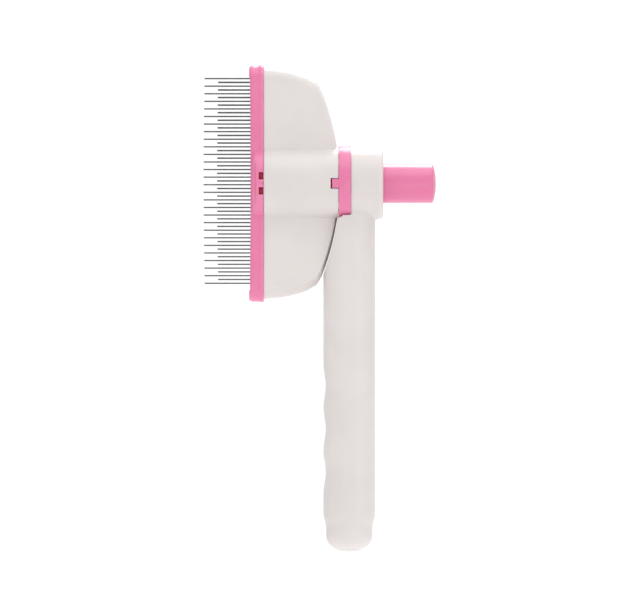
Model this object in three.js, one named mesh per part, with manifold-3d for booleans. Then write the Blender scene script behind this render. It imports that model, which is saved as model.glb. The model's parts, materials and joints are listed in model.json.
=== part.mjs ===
// A self-cleaning grooming brush for pets, in millimetres: long and short steel pins on a hollow head,
// a front plate that slides along the pins to strip the hair off them, a push button on the swivel axis,
// and a handle.
//
// Everything is modelled on the swivel axis: x runs rearwards from the parting plane between the ejector
// plate and the head shell, y runs across the brush, and z runs up. The root group then moves the origin
// to the middle of the handle's end.

import * as THREE from 'three';
import { mergeGeometries, mergeVertices } from 'three/addons/utils/BufferGeometryUtils.js';
import Module from 'manifold-3d';

const wasm = await Module();
wasm.setup();

// Gaps between pieces
const seatGap = 0.3;            // pieces that rest on each other
const runningGap = 0.4;         // pieces that slide or turn in each other
const sweepGap = 0.5;           // around the turning head, the spring and the plates
const splitGap = 0.1;           // between the two halves of the handle
const overshoot = 1;            // how far a cutting tool passes the face it cuts
const weldDistance = 1e-5;      // corners closer than this are one corner

// Head shell
const shellHalfLength = 42.5;   // swivel axis to either end, at the parting plane
const shellEndRadius = 43;      // arc of each end, seen from the side
const shellBackRadius = 92;     // arc of the back, seen from the side
const shellBackCrown = 0.45;    // how far the arc of the back stands behind the barrel, on the axis
const shellCornerTrim = 3.1;    // how much of each arc the rounded corner takes
const shellHalfWidth = 7.5;     // at the parting plane
const shellDraft = 0.12;        // how much narrower each flank gets per millimetre of depth
const shellEdgeRadius = 3;
const shellWall = 1.6;

// Barrel around the swivel axis
const headDepth = 27.25;        // parting plane to the back of the barrel
const barrelDraft = 0.8;        // difference in radius, front to back
const barrelWall = 1.2;
const barrelBackWall = 1.85;

// Swivel ring and collar
const collarWall = 1.4;
const collarDepth = 11.75;
const collarLip = 2.15;         // front wall that holds the ring's flange in
const collarEdge = 1.3;
const ringDepth = 4.25;
const ringStep = 0.7;           // how far the ring stands out past the collar
const ringToBarrelStep = 0.4;
const ringTabHalfHeight = 1.65;
const ringTabLength = 2.6;
const neckWall = 2;
const flangeStep = 1.8;
const flangeThickness = 2;

// Spring washer behind the flange
const washerThickness = 0.4;
const washerWave = 0.12;
const washerWaves = 3;

// Push button, ejector and return spring
const buttonRadius = 7.1;
const buttonWall = 1.15;
const buttonDome = 1.4;
const buttonShoulder = 0.9;     // rounding between the flank and the dome
const buttonProud = 2.5;        // what still stands out of the collar when the button is pressed home
const ejectTravel = 17;
const yokeThickness = 2.2;
const prongThickness = 1.6;
const prongHalfHeight = 4;
const linkTubeLength = 7;
const springRadius = 3.9;       // to the middle of the wire
const springWire = 0.8;
const springTurns = 9;
const springSeatRadius = 4.4;
const springSeatReach = 24;     // from the parting plane
const springGuideRadius = 3;
const springGuideLength = 10;

// Pins
const pinPitch = 1.402;         // between neighbours, seen from the side
const pinTopMargin = 3.6;       // end of the shell to the first pin
const pinEndMargins = 9.2;      // both ends together
const pinRadius = 0.25;
const longPinReach = 22.2;      // in front of the parting plane
const shortPinReach = 17.2;
const pinBow = 0.4;             // how much further the middle pins reach than the end ones
const rowSpacing = 2.6;
const stripHalfWidth = 0.6;
const stripThickness = 0.7;

// Plates that hold the pins
const baseSetback = 0.6;        // behind the parting plane
const baseThickness = 2;
const backingThickness = 2.3;
const plateCorner = 2.4;
const slotHalfWidth = 0.55;
const grooveDepthInBacking = 1.2;
const grooveHalfWidth = 0.9;

// Ejector plate
const plateOverhang = 1.25;     // past the end of the shell
const plateSideOverhang = 0.5;  // past the flank of the shell
const plateDepth = 5.4;         // front of the end pads to the rear edge
const plateFace = 2;
const plateSkirt = 1.6;
const plateCornerRadius = 5.5;
const plateEdge = 1.2;
const padStep = 0.5;            // end pads in front of the pinned face
const padMargin = 0.9;          // last pin to the pad
const pinHoleRadius = 0.5;
const bulgeStep = 0.2;          // bulge outside the barrel
const bulgeDepth = 4.2;         // it stands back a little from the pinned face
const bulgeWall = 1.3;          // at its front
const bulgeEdge = 0.9;
const grooveFront = 3.6;        // groove around the side of the bulge
const grooveWidth = 0.35;
const grooveDepth = 0.35;
const grooveHalfLength = 7.3;
const windowInner = 1.45;
const windowOuter = 4.15;
const windowFront = 2.1;
const windowRear = 0.45;
const barbProud = 1.3;          // past the outside of the prongs

// Handle
const gripLength = 136;         // swivel axis to the end of the handle
const gripCentre = 31.25;       // parting plane to the middle of the handle
const gripDepth = 19.1;
const gripWidth = 17.8;
const gripSquareness = 2.8;     // 2 gives an oval, more gives squarer sides
const gripWall = 2.2;
const gripFloor = 5.5;
const gripTopWall = 2.9;        // between the collar and the hollow of the handle
const fingerDepth = 0.8;
const fingerPitch = 15.9;
const fingerCount = 3;
const fingerMargin = 21.45;     // end of the handle to the last finger groove
const endTaper = 1;
const endTaperHigh = 14;        // above the end
const endTaperLow = 9;
const endDome = 6;              // height of the domed end
const endFlatShare = 0.15;      // share of the section that is left flat at the very end

// End plug
const plugHalfDepth = 5;
const plugHalfWidth = 4.6;
const plugThickness = 3;
const plugStemRadius = 2;
const plugStemLength = 4;

// Screws
const smallScrew = { shank: 0.9, head: 1.7, headHeight: 1.2, length: 6, socket: 0.7, boss: 2.2, bore: 1.2 };
const handleScrew = {
  shank: 1.1, head: 2.3, headHeight: 1.6, length: 11.8, socket: 0.9, boss: 3.2, bore: 1.4,
};
const handleScrewSink = 0.9;    // head below the handle's flank
const firstHandleScrew = 45;    // below the swivel axis
const lastHandleScrew = 16;     // above the end
const handleScrewCount = 3;

// Facets
const outerSides = 40;
const innerSides = 24;
const smallSides = 12;
const washerSides = 36;
const gripSides = 24;
const pinSides = 6;
const springStepsPerTurn = 10;
const wireSteps = 3;
const fingerSteps = 4;
const endSteps = 5;             // along the arc of an end
const cornerSteps = 4;
const backSteps = 7;            // along the arc of the back
const bevelSteps = 3;
const domeSteps = 5;
const roundingSteps = 4;

// Radii that follow from the button outwards
const buttonBore = buttonRadius + runningGap;
const neckRadius = buttonBore + neckWall;
const neckBore = neckRadius + runningGap;
const flangeRadius = neckRadius + flangeStep;
const flangeBore = flangeRadius + runningGap;
const collarRadius = flangeBore + collarWall;
const ringRadius = collarRadius + ringStep;
const barrelBackRadius = ringRadius - ringToBarrelStep;
const barrelFrontRadius = barrelBackRadius + barrelDraft;
const barrelBore = barrelBackRadius - barrelWall;
const saddleRadius = ringRadius + runningGap;
const prongOuter = barrelBore - runningGap;
const prongInner = prongOuter - prongThickness;
const linkTubeRadius = buttonRadius - buttonWall - seatGap;
const linkTubeBore = springSeatRadius + sweepGap;

// Places along the swivel axis
const baseBack = baseSetback + baseThickness;
const backingFront = baseBack + seatGap;
const backingBack = backingFront + backingThickness;
const backWallFront = headDepth - barrelBackWall;
const yokeBack = backWallFront - seatGap;
const yokeFront = yokeBack - yokeThickness;
const ringFront = headDepth + seatGap;
const ringBack = ringFront + ringDepth;
const collarFront = ringBack + seatGap;
const flangeFront = collarFront + collarLip + seatGap;
const flangeBack = flangeFront + flangeThickness;
const washerFront = flangeBack + seatGap + washerWave;
const flangeBoreBack = washerFront + washerThickness + washerWave + seatGap;
const collarBack = collarFront + collarDepth;
const buttonFront = yokeBack + seatGap;
const buttonBack = collarBack + ejectTravel + buttonProud;
const springFront = springSeatReach + seatGap;
const springBack = buttonBack - buttonDome - buttonWall - seatGap;
const plateBack = -seatGap;
const padFront = plateBack - plateDepth;
const faceFront = padFront + padStep;
const faceBack = faceFront + plateFace;
const bulgeFront = plateBack - bulgeDepth;
const bulgeInside = bulgeFront + bulgeWall;

// Places across and along the head
const plateHalfLength = shellHalfLength + plateOverhang;
const plateHalfWidth = shellHalfWidth + plateSideOverhang;
const bulgeRadius = barrelFrontRadius + bulgeStep;
const firstPin = shellHalfLength - pinTopMargin;
const longPinCount = Math.floor((2 * shellHalfLength - pinEndMargins) / (2 * pinPitch)) + 1;
const shortPinCount = longPinCount - 1;
const lastPin = firstPin - 2 * pinPitch * shortPinCount;
const rowPlaces = [-1.5, -0.5, 0.5, 1.5].map((row) => row * rowSpacing);
const baseHalfLength = shellHalfLength - shellWall - sweepGap;
const baseHalfWidth = shellHalfWidth - shellDraft * backingBack - shellWall - seatGap;
const baseDiscRadius = barrelBore - seatGap;
const headBore = smallScrew.head + seatGap;
const baseScrewY = rowPlaces[3] + slotHalfWidth + seatGap + headBore;
const baseScrewZ = prongHalfHeight + sweepGap + smallScrew.boss;
const ringScrewZ = (buttonBore + barrelBore) / 2 + seatGap;
const handleScrewDepth = gripWidth / 2 - handleScrewSink - handleScrew.headHeight;

// Materials
const ivory = { color: 0xe7dedc, roughness: 0.35, metalness: 0 };
const pink = { color: 0xe483aa, roughness: 0.3, metalness: 0 };
const deepRed = { color: 0x96303f, roughness: 0.35, metalness: 0 };
const nylon = { color: 0xd9d7d2, roughness: 0.5, metalness: 0 };
const steel = { color: 0x9a9da1, roughness: 0.3, metalness: 1 };
const darkSteel = { color: 0x6f7276, roughness: 0.35, metalness: 1 };

// Turns a closed geometry into a solid that can be joined and cut.
function solid(geometry) {
  const bare = geometry.clone();
  bare.deleteAttribute('normal');
  bare.deleteAttribute('uv');
  const merged = mergeVertices(bare, weldDistance);
  const corners = merged.index.array;
  const kept = [];
  for (let i = 0; i < corners.length; i += 3) {
    const [a, b, c] = corners.slice(i, i + 3);
    if (a !== b && b !== c && c !== a) {
      kept.push(a, b, c);
    }
  }
  return new wasm.Manifold(new wasm.Mesh({
    numProp: 3,
    vertProperties: new Float32Array(merged.attributes.position.array),
    triVerts: new Uint32Array(kept),
  }));
}

function join(first, ...others) {
  return others.reduce((whole, other) => whole.add(other), first);
}

function cut(first, ...tools) {
  return tools.reduce((whole, tool) => whole.subtract(tool), first);
}

// A named mesh of one solid, with its own material.
function piece(name, body, look) {
  const mesh = body.getMesh();
  const geometry = new THREE.BufferGeometry();
  geometry.setAttribute('position', new THREE.BufferAttribute(new Float32Array(mesh.vertProperties), 3));
  geometry.setIndex(new THREE.BufferAttribute(new Uint32Array(mesh.triVerts), 1));
  geometry.computeVertexNormals();
  const result = new THREE.Mesh(geometry, new THREE.MeshStandardMaterial(look));
  result.name = name;
  return result;
}

// A solid of revolution about the swivel axis, from [x, radius] points in order of x along the outside.
function turned(profile, sides) {
  const points = profile.map(([x, radius]) => new THREE.Vector2(radius, x));
  const geometry = new THREE.LatheGeometry(points, sides);
  geometry.rotateZ(-Math.PI / 2);
  return solid(geometry);
}

function disc(x0, x1, radius, sides = innerSides) {
  return turned([[x0, 0], [x0, radius], [x1, radius], [x1, 0]], sides);
}

function ring(x0, x1, bore, radius, sides = innerSides) {
  return turned([[x0, bore], [x0, radius], [x1, radius], [x1, bore], [x0, bore]], sides);
}

// Profile points of a rounded edge, from the flank to a face that looks rearwards (1) or forwards (-1).
function roundedEdge(face, radius, size, facing) {
  const middle = size * (1 - Math.SQRT1_2);
  return [
    [face - facing * size, radius],
    [face - facing * middle, radius - middle],
    [face, radius - size],
  ];
}

function blockGeometry([x0, x1], [y0, y1], [z0, z1]) {
  const geometry = new THREE.BoxGeometry(x1 - x0, y1 - y0, z1 - z0);
  geometry.translate((x0 + x1) / 2, (y0 + y1) / 2, (z0 + z1) / 2);
  return geometry;
}

function block(x, y, z) {
  return solid(blockGeometry(x, y, z));
}

// A rod along the swivel axis, at y and z.
function rodGeometry(x0, x1, radius, y, z, sides) {
  const geometry = new THREE.CylinderGeometry(radius, radius, x1 - x0, sides);
  geometry.rotateZ(-Math.PI / 2);
  geometry.translate((x0 + x1) / 2, y, z);
  return geometry;
}

function rod(x0, x1, radius, y, z, sides = smallSides) {
  return solid(rodGeometry(x0, x1, radius, y, z, sides));
}

// Equal rods along the swivel axis, one at each [y, z].
function rods(places, x0, x1, radius) {
  return places.map(([y, z]) => rod(x0, x1, radius, y, z));
}

// A rod across the brush, at x and z.
function crossRod(y0, y1, radius, x, z, sides = smallSides) {
  const geometry = new THREE.CylinderGeometry(radius, radius, y1 - y0, sides);
  geometry.translate(x, (y0 + y1) / 2, z);
  return solid(geometry);
}

// An upright rod, at x and on the middle plane.
function uprightRod(z0, z1, radius, x, sides = smallSides) {
  const geometry = new THREE.CylinderGeometry(radius, radius, z1 - z0, sides);
  geometry.rotateX(Math.PI / 2);
  geometry.translate(x, 0, (z0 + z1) / 2);
  return solid(geometry);
}

// A rounded rectangle in y and z, carried along x; a bevel rounds the front and rear edges.
function roundedPlate(x0, x1, halfWidth, halfLength, corner, bevel = 0) {
  const shape = new THREE.Shape();
  shape.absarc(halfWidth - corner, halfLength - corner, corner, 0, Math.PI / 2);
  shape.absarc(corner - halfWidth, halfLength - corner, corner, Math.PI / 2, Math.PI);
  shape.absarc(corner - halfWidth, corner - halfLength, corner, Math.PI, 1.5 * Math.PI);
  shape.absarc(halfWidth - corner, corner - halfLength, corner, 1.5 * Math.PI, 2 * Math.PI);
  const geometry = new THREE.ExtrudeGeometry(shape, {
    depth: x1 - x0 - 2 * bevel,
    bevelEnabled: bevel > 0,
    bevelThickness: bevel,
    bevelSize: bevel,
    bevelOffset: -bevel,
    bevelSegments: bevelSteps,
    curveSegments: cornerSteps,
  });
  geometry.translate(0, 0, x0 + bevel);
  const toAxis = new THREE.Matrix4().makeBasis(
    new THREE.Vector3(0, 1, 0),
    new THREE.Vector3(0, 0, 1),
    new THREE.Vector3(1, 0, 0),
  );
  geometry.applyMatrix4(toAxis);
  return solid(geometry);
}

// The upper meeting point of two circles in the x-z plane.
function meetingPoint(a, b) {
  const dx = b.x - a.x;
  const dz = b.z - a.z;
  const apart = Math.hypot(dx, dz);
  const along = (apart ** 2 + a.radius ** 2 - b.radius ** 2) / (2 * apart);
  const across = Math.sqrt(a.radius ** 2 - along ** 2);
  return {
    x: a.x + (along * dx - across * dz) / apart,
    z: a.z + (along * dz + across * dx) / apart,
  };
}

// Points [x, z] of the upper half of the head's side outline, from the parting plane to the middle of the
// back: the arc of the end, a rounded corner and the arc of the back, all moved outwards by the offset.
function upperOutline(offset) {
  const end = { x: 0, z: shellHalfLength - shellEndRadius, radius: shellEndRadius + offset };
  const back = { x: headDepth + shellBackCrown - shellBackRadius, z: 0, radius: shellBackRadius + offset };
  const meet = upperMeeting(back, end);
  const endAt = (x) => [x, end.z + Math.sqrt(end.radius ** 2 - x ** 2)];
  const backAt = (z) => [back.x + Math.sqrt(back.radius ** 2 - z ** 2), z];
  const cornerStart = new THREE.Vector2(...endAt(meet.x - shellCornerTrim));
  const cornerEnd = new THREE.Vector2(...backAt(meet.z - shellCornerTrim));
  const corner = new THREE.QuadraticBezierCurve(cornerStart, new THREE.Vector2(meet.x, meet.z), cornerEnd);
  const points = [];
  for (let step = 0; step < endSteps; step += 1) {
    points.push(endAt(cornerStart.x * step / endSteps));
  }
  for (const point of corner.getPoints(cornerSteps)) {
    points.push([point.x, point.y]);
  }
  for (let step = 1; step <= backSteps; step += 1) {
    points.push(backAt(cornerEnd.y * (1 - step / backSteps)));
  }
  return points;
}

function upperMeeting(back, end) {
  const first = meetingPoint(back, end);
  const second = meetingPoint(end, back);
  return first.z > second.z ? first : second;
}

function halfWidthAt(x) {
  return shellHalfWidth - shellDraft * x;
}

// The long body of the head, moved outwards by the offset, with flanks that draw together towards the back.
function longBody(offset, edge) {
  const upper = upperOutline(offset);
  const lower = upper.slice(0, -1).reverse().map(([x, z]) => [x, -z]);
  const front = -shellEdgeRadius - 2 * overshoot;
  const outline = [[front, upper[0][1]], ...upper, ...lower, [front, -upper[0][1]]];
  const shape = new THREE.Shape(outline.map(([x, z]) => new THREE.Vector2(x, z)));
  const halfWidth = shellHalfWidth + offset;
  const geometry = new THREE.ExtrudeGeometry(shape, {
    depth: 2 * (halfWidth - edge),
    bevelThickness: edge,
    bevelSize: edge,
    bevelOffset: -edge,
    bevelSegments: bevelSteps,
  });
  geometry.translate(0, 0, edge - halfWidth);
  geometry.rotateX(Math.PI / 2);
  const place = geometry.attributes.position;
  for (let i = 0; i < place.count; i += 1) {
    const narrowed = (halfWidthAt(Math.max(place.getX(i), 0)) + offset) / halfWidth;
    place.setY(i, place.getY(i) * narrowed);
  }
  return solid(geometry);
}

// The space that the head sweeps when it turns, moved outwards by the offset, as far back as the collar.
function headSweep(offset) {
  const saddle = saddleRadius + offset - sweepGap;
  const outside = upperOutline(offset).filter(([, radius]) => radius > saddle);
  const front = -overshoot;
  const last = outside[outside.length - 1][0];
  const profile = [
    [front, 0],
    [front, outside[0][1]],
    ...outside,
    [last + (headDepth - last) / 2, saddle],
    [collarFront, saddle],
    [collarFront, 0],
  ];
  return turned(profile, outerSides);
}

// Two copies of something, one on either side of the middle plane.
function mirroredInY(make) {
  return join(make(1), make(-1));
}

function span(a, b) {
  return a < b ? [a, b] : [b, a];
}

function baseScrewPlaces() {
  return [[1, 1], [-1, 1], [-1, -1], [1, -1]].map(([y, z]) => [y * baseScrewY, z * baseScrewZ]);
}

function ringScrewPlaces() {
  return [[0, ringScrewZ], [0, -ringScrewZ]];
}

function headShell() {
  const wide = shellHalfLength * 2;
  const body = longBody(0, shellEdgeRadius).intersect(block([0, headDepth], [-wide, wide], [-wide, wide]));
  const barrel = turned(
    [[0, 0], [0, barrelFrontRadius], [headDepth, barrelBackRadius], [headDepth, 0]],
    outerSides,
  );
  const hollow = longBody(-shellWall, shellEdgeRadius - shellWall)
    .intersect(block([-overshoot, backWallFront], [-wide, wide], [-wide, wide]));
  const barrelHollow = disc(-overshoot, backWallFront, barrelBore);
  const bosses = rods(baseScrewPlaces(), backingBack + seatGap, headDepth - seatGap, smallScrew.boss);
  const pilots = rods(
    baseScrewPlaces(),
    backingBack,
    backingBack + smallScrew.length + overshoot,
    smallScrew.bore,
  );
  const ringHoles = rods(
    ringScrewPlaces(),
    backWallFront - overshoot,
    headDepth + overshoot,
    smallScrew.bore,
  );
  const notches = mirroredInY((side) => block(
    [ringFront - ringTabLength - 2 * seatGap, headDepth + overshoot],
    span(side * (prongOuter + runningGap / 2), side * (barrelFrontRadius + overshoot)),
    [-ringTabHalfHeight - seatGap, ringTabHalfHeight + seatGap],
  ));
  const buttonHole = disc(backWallFront - overshoot, headDepth + overshoot, buttonBore);
  const shell = cut(join(body, barrel), hollow, barrelHollow);
  return cut(join(shell, ...bosses), ...pilots, ...ringHoles, notches, buttonHole);
}

function swivelRing() {
  const body = ring(ringFront, ringBack, buttonBore, ringRadius, outerSides);
  const neck = ring(ringBack - overshoot, flangeFront + overshoot, buttonBore, neckRadius);
  const flange = ring(flangeFront, flangeBack, buttonBore, flangeRadius);
  const tabInside = prongOuter + runningGap + seatGap / 2;
  const tabOutside = ringRadius - ringToBarrelStep / 2;
  const tabRing = ring(ringFront - ringTabLength, ringFront + overshoot, tabInside, tabOutside, outerSides);
  const tabs = tabRing.intersect(block(
    [ringFront - 2 * ringTabLength, ringBack],
    [-2 * ringRadius, 2 * ringRadius],
    [-ringTabHalfHeight, ringTabHalfHeight],
  ));
  const pilots = rods(
    ringScrewPlaces(),
    ringFront - overshoot,
    ringFront + smallScrew.length / 2,
    smallScrew.bore,
  );
  return cut(join(body, neck, flange, tabs), ...pilots);
}

// Outline shared by the two plates that close the front of the head, with room for the fork's prongs.
function closingPlate(x0, x1) {
  const plate = join(
    roundedPlate(x0, x1, baseHalfWidth, baseHalfLength, plateCorner),
    disc(x0, x1, baseDiscRadius),
  );
  const notchHalfHeight = prongHalfHeight + runningGap;
  const notchInside = Math.sqrt((prongInner - runningGap) ** 2 - notchHalfHeight ** 2);
  const notches = mirroredInY((side) => block(
    [x0 - overshoot, x1 + overshoot],
    span(side * notchInside, side * (baseDiscRadius + overshoot)),
    [-notchHalfHeight, notchHalfHeight],
  ));
  return cut(plate, notches);
}

function pinBase() {
  const slots = rowPlaces.map((y) => block(
    [baseSetback - overshoot, baseBack + overshoot],
    [y - slotHalfWidth, y + slotHalfWidth],
    [lastPin - slotHalfWidth, firstPin + slotHalfWidth],
  ));
  const seatBottom = baseSetback + smallScrew.headHeight + seatGap / 2;
  const seats = rods(baseScrewPlaces(), baseSetback - overshoot, seatBottom, headBore);
  const holes = rods(baseScrewPlaces(), baseSetback, baseBack + overshoot, smallScrew.bore);
  return cut(closingPlate(baseSetback, baseBack), ...slots, ...seats, ...holes);
}

function backingPlate() {
  const grooves = rowPlaces.map((y) => block(
    [backingFront - overshoot, backingFront + grooveDepthInBacking],
    [y - grooveHalfWidth, y + grooveHalfWidth],
    [lastPin - grooveHalfWidth, firstPin + grooveHalfWidth],
  ));
  const holes = rods(
    baseScrewPlaces(),
    backingFront - overshoot,
    backingBack + overshoot,
    smallScrew.bore,
  );
  const seat = disc(backingBack - seatGap, springSeatReach, springSeatRadius);
  const guide = disc(springSeatReach - seatGap, springSeatReach + springGuideLength, springGuideRadius);
  return join(cut(closingPlate(backingFront, backingBack), ...grooves, ...holes), seat, guide);
}

// How far in front of the parting plane a pin at this height reaches.
function pinReach(isLong, z) {
  const middle = (firstPin + lastPin) / 2;
  const fromMiddle = (z - middle) / (firstPin - middle);
  return (isLong ? longPinReach : shortPinReach) + pinBow * (1 - fromMiddle ** 2);
}

// The pin places of every row: long pins in the two inner rows, short pins between them in the outer rows.
function pinRows() {
  return rowPlaces.map((y, row) => {
    const isLong = row === 1 || row === 2;
    const count = isLong ? longPinCount : shortPinCount;
    const start = isLong ? firstPin : firstPin - pinPitch;
    const heights = Array.from({ length: count }, (_, pin) => start - 2 * pinPitch * pin);
    return { y, isLong, heights };
  });
}

function pinRow({ y, isLong, heights }) {
  const stripFront = backingFront + seatGap / 2;
  const strip = block(
    [stripFront, stripFront + stripThickness],
    [y - stripHalfWidth, y + stripHalfWidth],
    [heights[heights.length - 1] - stripHalfWidth, heights[0] + stripHalfWidth],
  );
  const root = stripFront + stripThickness / 2;
  const pins = heights.map((z) => rodGeometry(-pinReach(isLong, z), root, pinRadius, y, z, pinSides));
  return join(strip, solid(mergeGeometries(pins)));
}

function screw({ shank, head, headHeight, length, socket }) {
  const headPart = disc(0, headHeight, head, smallSides);
  const shankPart = disc(headHeight / 2, length, shank, smallSides);
  const hexagon = disc(-overshoot, headHeight / 2, socket, pinSides);
  return cut(join(headPart, shankPart), hexagon);
}

function ejectorPlate() {
  const back = plateBack + 2 * overshoot;
  const outer = join(
    roundedPlate(padFront, back, plateHalfWidth, plateHalfLength, plateCornerRadius, plateEdge),
    turned([
      [bulgeFront, 0],
      ...roundedEdge(bulgeFront, bulgeRadius, bulgeEdge, -1).reverse(),
      [back, bulgeRadius],
      [back, 0],
    ], outerSides),
  );
  const across = [-plateHalfLength, plateHalfLength];
  const along = [-plateHalfLength - overshoot, plateHalfLength + overshoot];
  const rearTrim = block([plateBack, back + overshoot], across, along);
  const pinned = [lastPin - padMargin, firstPin + padMargin];
  const pinnedFace = block([padFront - overshoot, faceFront], across, pinned);
  const tray = join(
    roundedPlate(
      faceBack,
      back,
      plateHalfWidth - plateSkirt,
      plateHalfLength - plateSkirt,
      plateCornerRadius - plateSkirt,
    ),
    disc(bulgeInside, back, bulgeRadius - plateSkirt, outerSides),
  );
  const hole = (y, z) => rodGeometry(
    padFront - overshoot,
    faceBack + overshoot,
    pinHoleRadius,
    y,
    z,
    pinSides,
  );
  const holes = pinRows().flatMap(({ y, heights }) => heights.map((z) => hole(y, z)));
  const groove = ring(
    -grooveFront,
    grooveWidth - grooveFront,
    bulgeRadius - grooveDepth,
    bulgeRadius + overshoot,
    outerSides,
  ).intersect(block([-grooveFront, 0], across, [-grooveHalfLength, grooveHalfLength]));
  const windows = [1, -1].flatMap((side) => [1, -1].map((end) => block(
    [-windowFront, -windowRear],
    span(side * (bulgeRadius - 2 * plateSkirt), side * (bulgeRadius + overshoot)),
    span(end * windowInner, end * windowOuter),
  )));
  return cut(outer, rearTrim, pinnedFace, tray, groove, solid(mergeGeometries(holes)), ...windows);
}

function plungerFork() {
  const tip = bulgeInside + seatGap;
  const reach = [-prongHalfHeight, prongHalfHeight];
  const yoke = ring(yokeFront, yokeBack, linkTubeBore, prongOuter)
    .intersect(block([yokeFront - overshoot, yokeBack + overshoot], [-prongOuter, prongOuter], reach));
  const prongs = ring(tip, yokeFront + overshoot, prongInner, prongOuter)
    .intersect(block([tip - overshoot, yokeBack], [-prongOuter, prongOuter], reach));
  const tube = ring(yokeFront, yokeBack + linkTubeLength, linkTubeBore, linkTubeRadius);
  const barbs = [1, -1].flatMap((side) => [1, -1].map((end) => block(
    [-windowFront + seatGap, -windowRear - seatGap],
    span(side * (prongInner + prongThickness / 2), side * (prongOuter + barbProud)),
    span(end * (windowInner + seatGap), end * (windowOuter - seatGap)),
  )));
  return join(yoke, prongs, tube, ...barbs);
}

// A cup, open at the front, with a domed end.
function pushButton() {
  const rim = buttonBack - buttonDome;
  const shoulder = buttonShoulder / 2;
  const dome = Array.from({ length: domeSteps + 1 }, (_, step) => {
    const radius = (buttonRadius - shoulder) * (1 - step / domeSteps);
    return [buttonBack - (buttonDome - shoulder) * (radius / buttonRadius) ** 2, radius];
  });
  const outside = turned(
    [[buttonFront, 0], [buttonFront, buttonRadius], [rim - shoulder, buttonRadius], ...dome],
    outerSides,
  );
  return cut(outside, disc(buttonFront - overshoot, rim - buttonWall, buttonRadius - buttonWall));
}

class Helix extends THREE.Curve {
  constructor(radius, start, end, turns) {
    super();
    Object.assign(this, { radius, start, end, turns });
  }

  getPoint(t, target = new THREE.Vector3()) {
    const angle = 2 * Math.PI * this.turns * t;
    const x = this.start + (this.end - this.start) * t;
    return target.set(x, this.radius * Math.cos(angle), this.radius * Math.sin(angle));
  }
}

function returnSpring() {
  const wire = springWire / 2;
  const section = new THREE.Shape().absarc(0, 0, wire, 0, 2 * Math.PI);
  const coil = new Helix(springRadius, springFront + wire, springBack - wire, springTurns);
  return solid(new THREE.ExtrudeGeometry(section, {
    steps: springTurns * springStepsPerTurn,
    extrudePath: coil,
    curveSegments: wireSteps,
  }));
}

function waveWasher() {
  const inside = buttonBore + runningGap;
  const outside = flangeRadius;
  const washerBack = washerFront + washerThickness;
  const points = [
    new THREE.Vector2(inside, washerFront),
    new THREE.Vector2(outside, washerFront),
    new THREE.Vector2(outside, washerBack),
    new THREE.Vector2(inside, washerBack),
    new THREE.Vector2(inside, washerFront),
  ];
  const geometry = new THREE.LatheGeometry(points, washerSides);
  geometry.rotateZ(-Math.PI / 2);
  const place = geometry.attributes.position;
  for (let i = 0; i < place.count; i += 1) {
    const around = Math.atan2(place.getZ(i), place.getY(i));
    place.setX(i, place.getX(i) + washerWave * Math.cos(washerWaves * around));
  }
  return solid(geometry);
}

// How far the end of the handle draws in from its full section, at a height above the end.
function endInset(height) {
  return endTaper * (1 - THREE.MathUtils.smoothstep(height, endTaperLow, endTaperHigh));
}

// Share of the handle's section that the domed end leaves at a height above the end.
function endShare(height) {
  const below = Math.max(endDome - height, 0) / endDome;
  return endFlatShare + (1 - endFlatShare) * Math.sqrt(1 - below ** 2);
}

// Depth of the finger grooves at a height above the end.
function fingerInset(height) {
  const along = (height - fingerMargin) / fingerPitch;
  return along > 0 && along < fingerCount ? fingerDepth * (1 - Math.cos(2 * Math.PI * along)) / 2 : 0;
}

// A squared oval in x and y at height z, from the front x to the back x.
function gripLoop(z, front, back, halfWidth) {
  const middle = (front + back) / 2;
  const halfDepth = (back - front) / 2;
  const squared = (value) => Math.sign(value) * Math.abs(value) ** (2 / gripSquareness);
  return Array.from({ length: gripSides }, (_, side) => {
    const angle = 2 * Math.PI * (side + 0.5) / gripSides;
    return new THREE.Vector3(
      middle + halfDepth * squared(Math.cos(angle)),
      halfWidth * squared(Math.sin(angle)),
      z,
    );
  });
}

// A closed skin over loops of points, from the lowest loop to the highest.
function lofted(loops) {
  const count = loops[0].length;
  const geometry = new THREE.BufferGeometry().setFromPoints(loops.flat());
  const index = [];
  for (let side = 1; side < count - 1; side += 1) {
    const top = (loops.length - 1) * count;
    index.push(0, side + 1, side);
    index.push(top, top + side, top + side + 1);
  }
  for (let level = 0; level < loops.length - 1; level += 1) {
    for (let side = 0; side < count; side += 1) {
      const a = level * count + side;
      const b = level * count + (side + 1) % count;
      index.push(a, b, b + count);
      index.push(a, b + count, a + count);
    }
  }
  geometry.setIndex(index);
  return solid(geometry);
}

const gripFront = gripCentre - gripDepth / 2;
const gripBack = gripCentre + gripDepth / 2;

function gripBody() {
  const heights = [];
  for (let step = 0; step <= domeSteps; step += 1) {
    heights.push(endDome * (1 - Math.cos(Math.PI / 2 * step / domeSteps)));
  }
  heights.push(endTaperLow, (endTaperLow + endTaperHigh) / 2, endTaperHigh);
  for (let step = 0; step <= fingerCount * fingerSteps; step += 1) {
    heights.push(fingerMargin + step * fingerPitch / fingerSteps);
  }
  heights.push(gripLength);
  return lofted(heights.map((height) => {
    const halfDepth = (gripDepth / 2 - endInset(height)) * endShare(height);
    const halfWidth = (gripWidth / 2 - endInset(height)) * endShare(height);
    const front = gripCentre - halfDepth + fingerInset(height);
    return gripLoop(height - gripLength, front, gripCentre + halfDepth, halfWidth);
  }));
}

function gripHollow() {
  const inset = gripWall + fingerDepth;
  const bottom = gripFloor - gripLength;
  const knee = endTaperHigh - gripLength;
  const top = -collarRadius - gripTopWall;
  const levels = [[bottom, inset + endTaper], [knee, inset], [top, inset]];
  const loops = levels.map(([z, draw]) => gripLoop(
    z,
    gripFront + draw,
    gripBack - draw + fingerDepth,
    gripWidth / 2 - draw + fingerDepth,
  ));
  return cut(lofted(loops), headSweep(sweepGap + gripWall));
}

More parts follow.
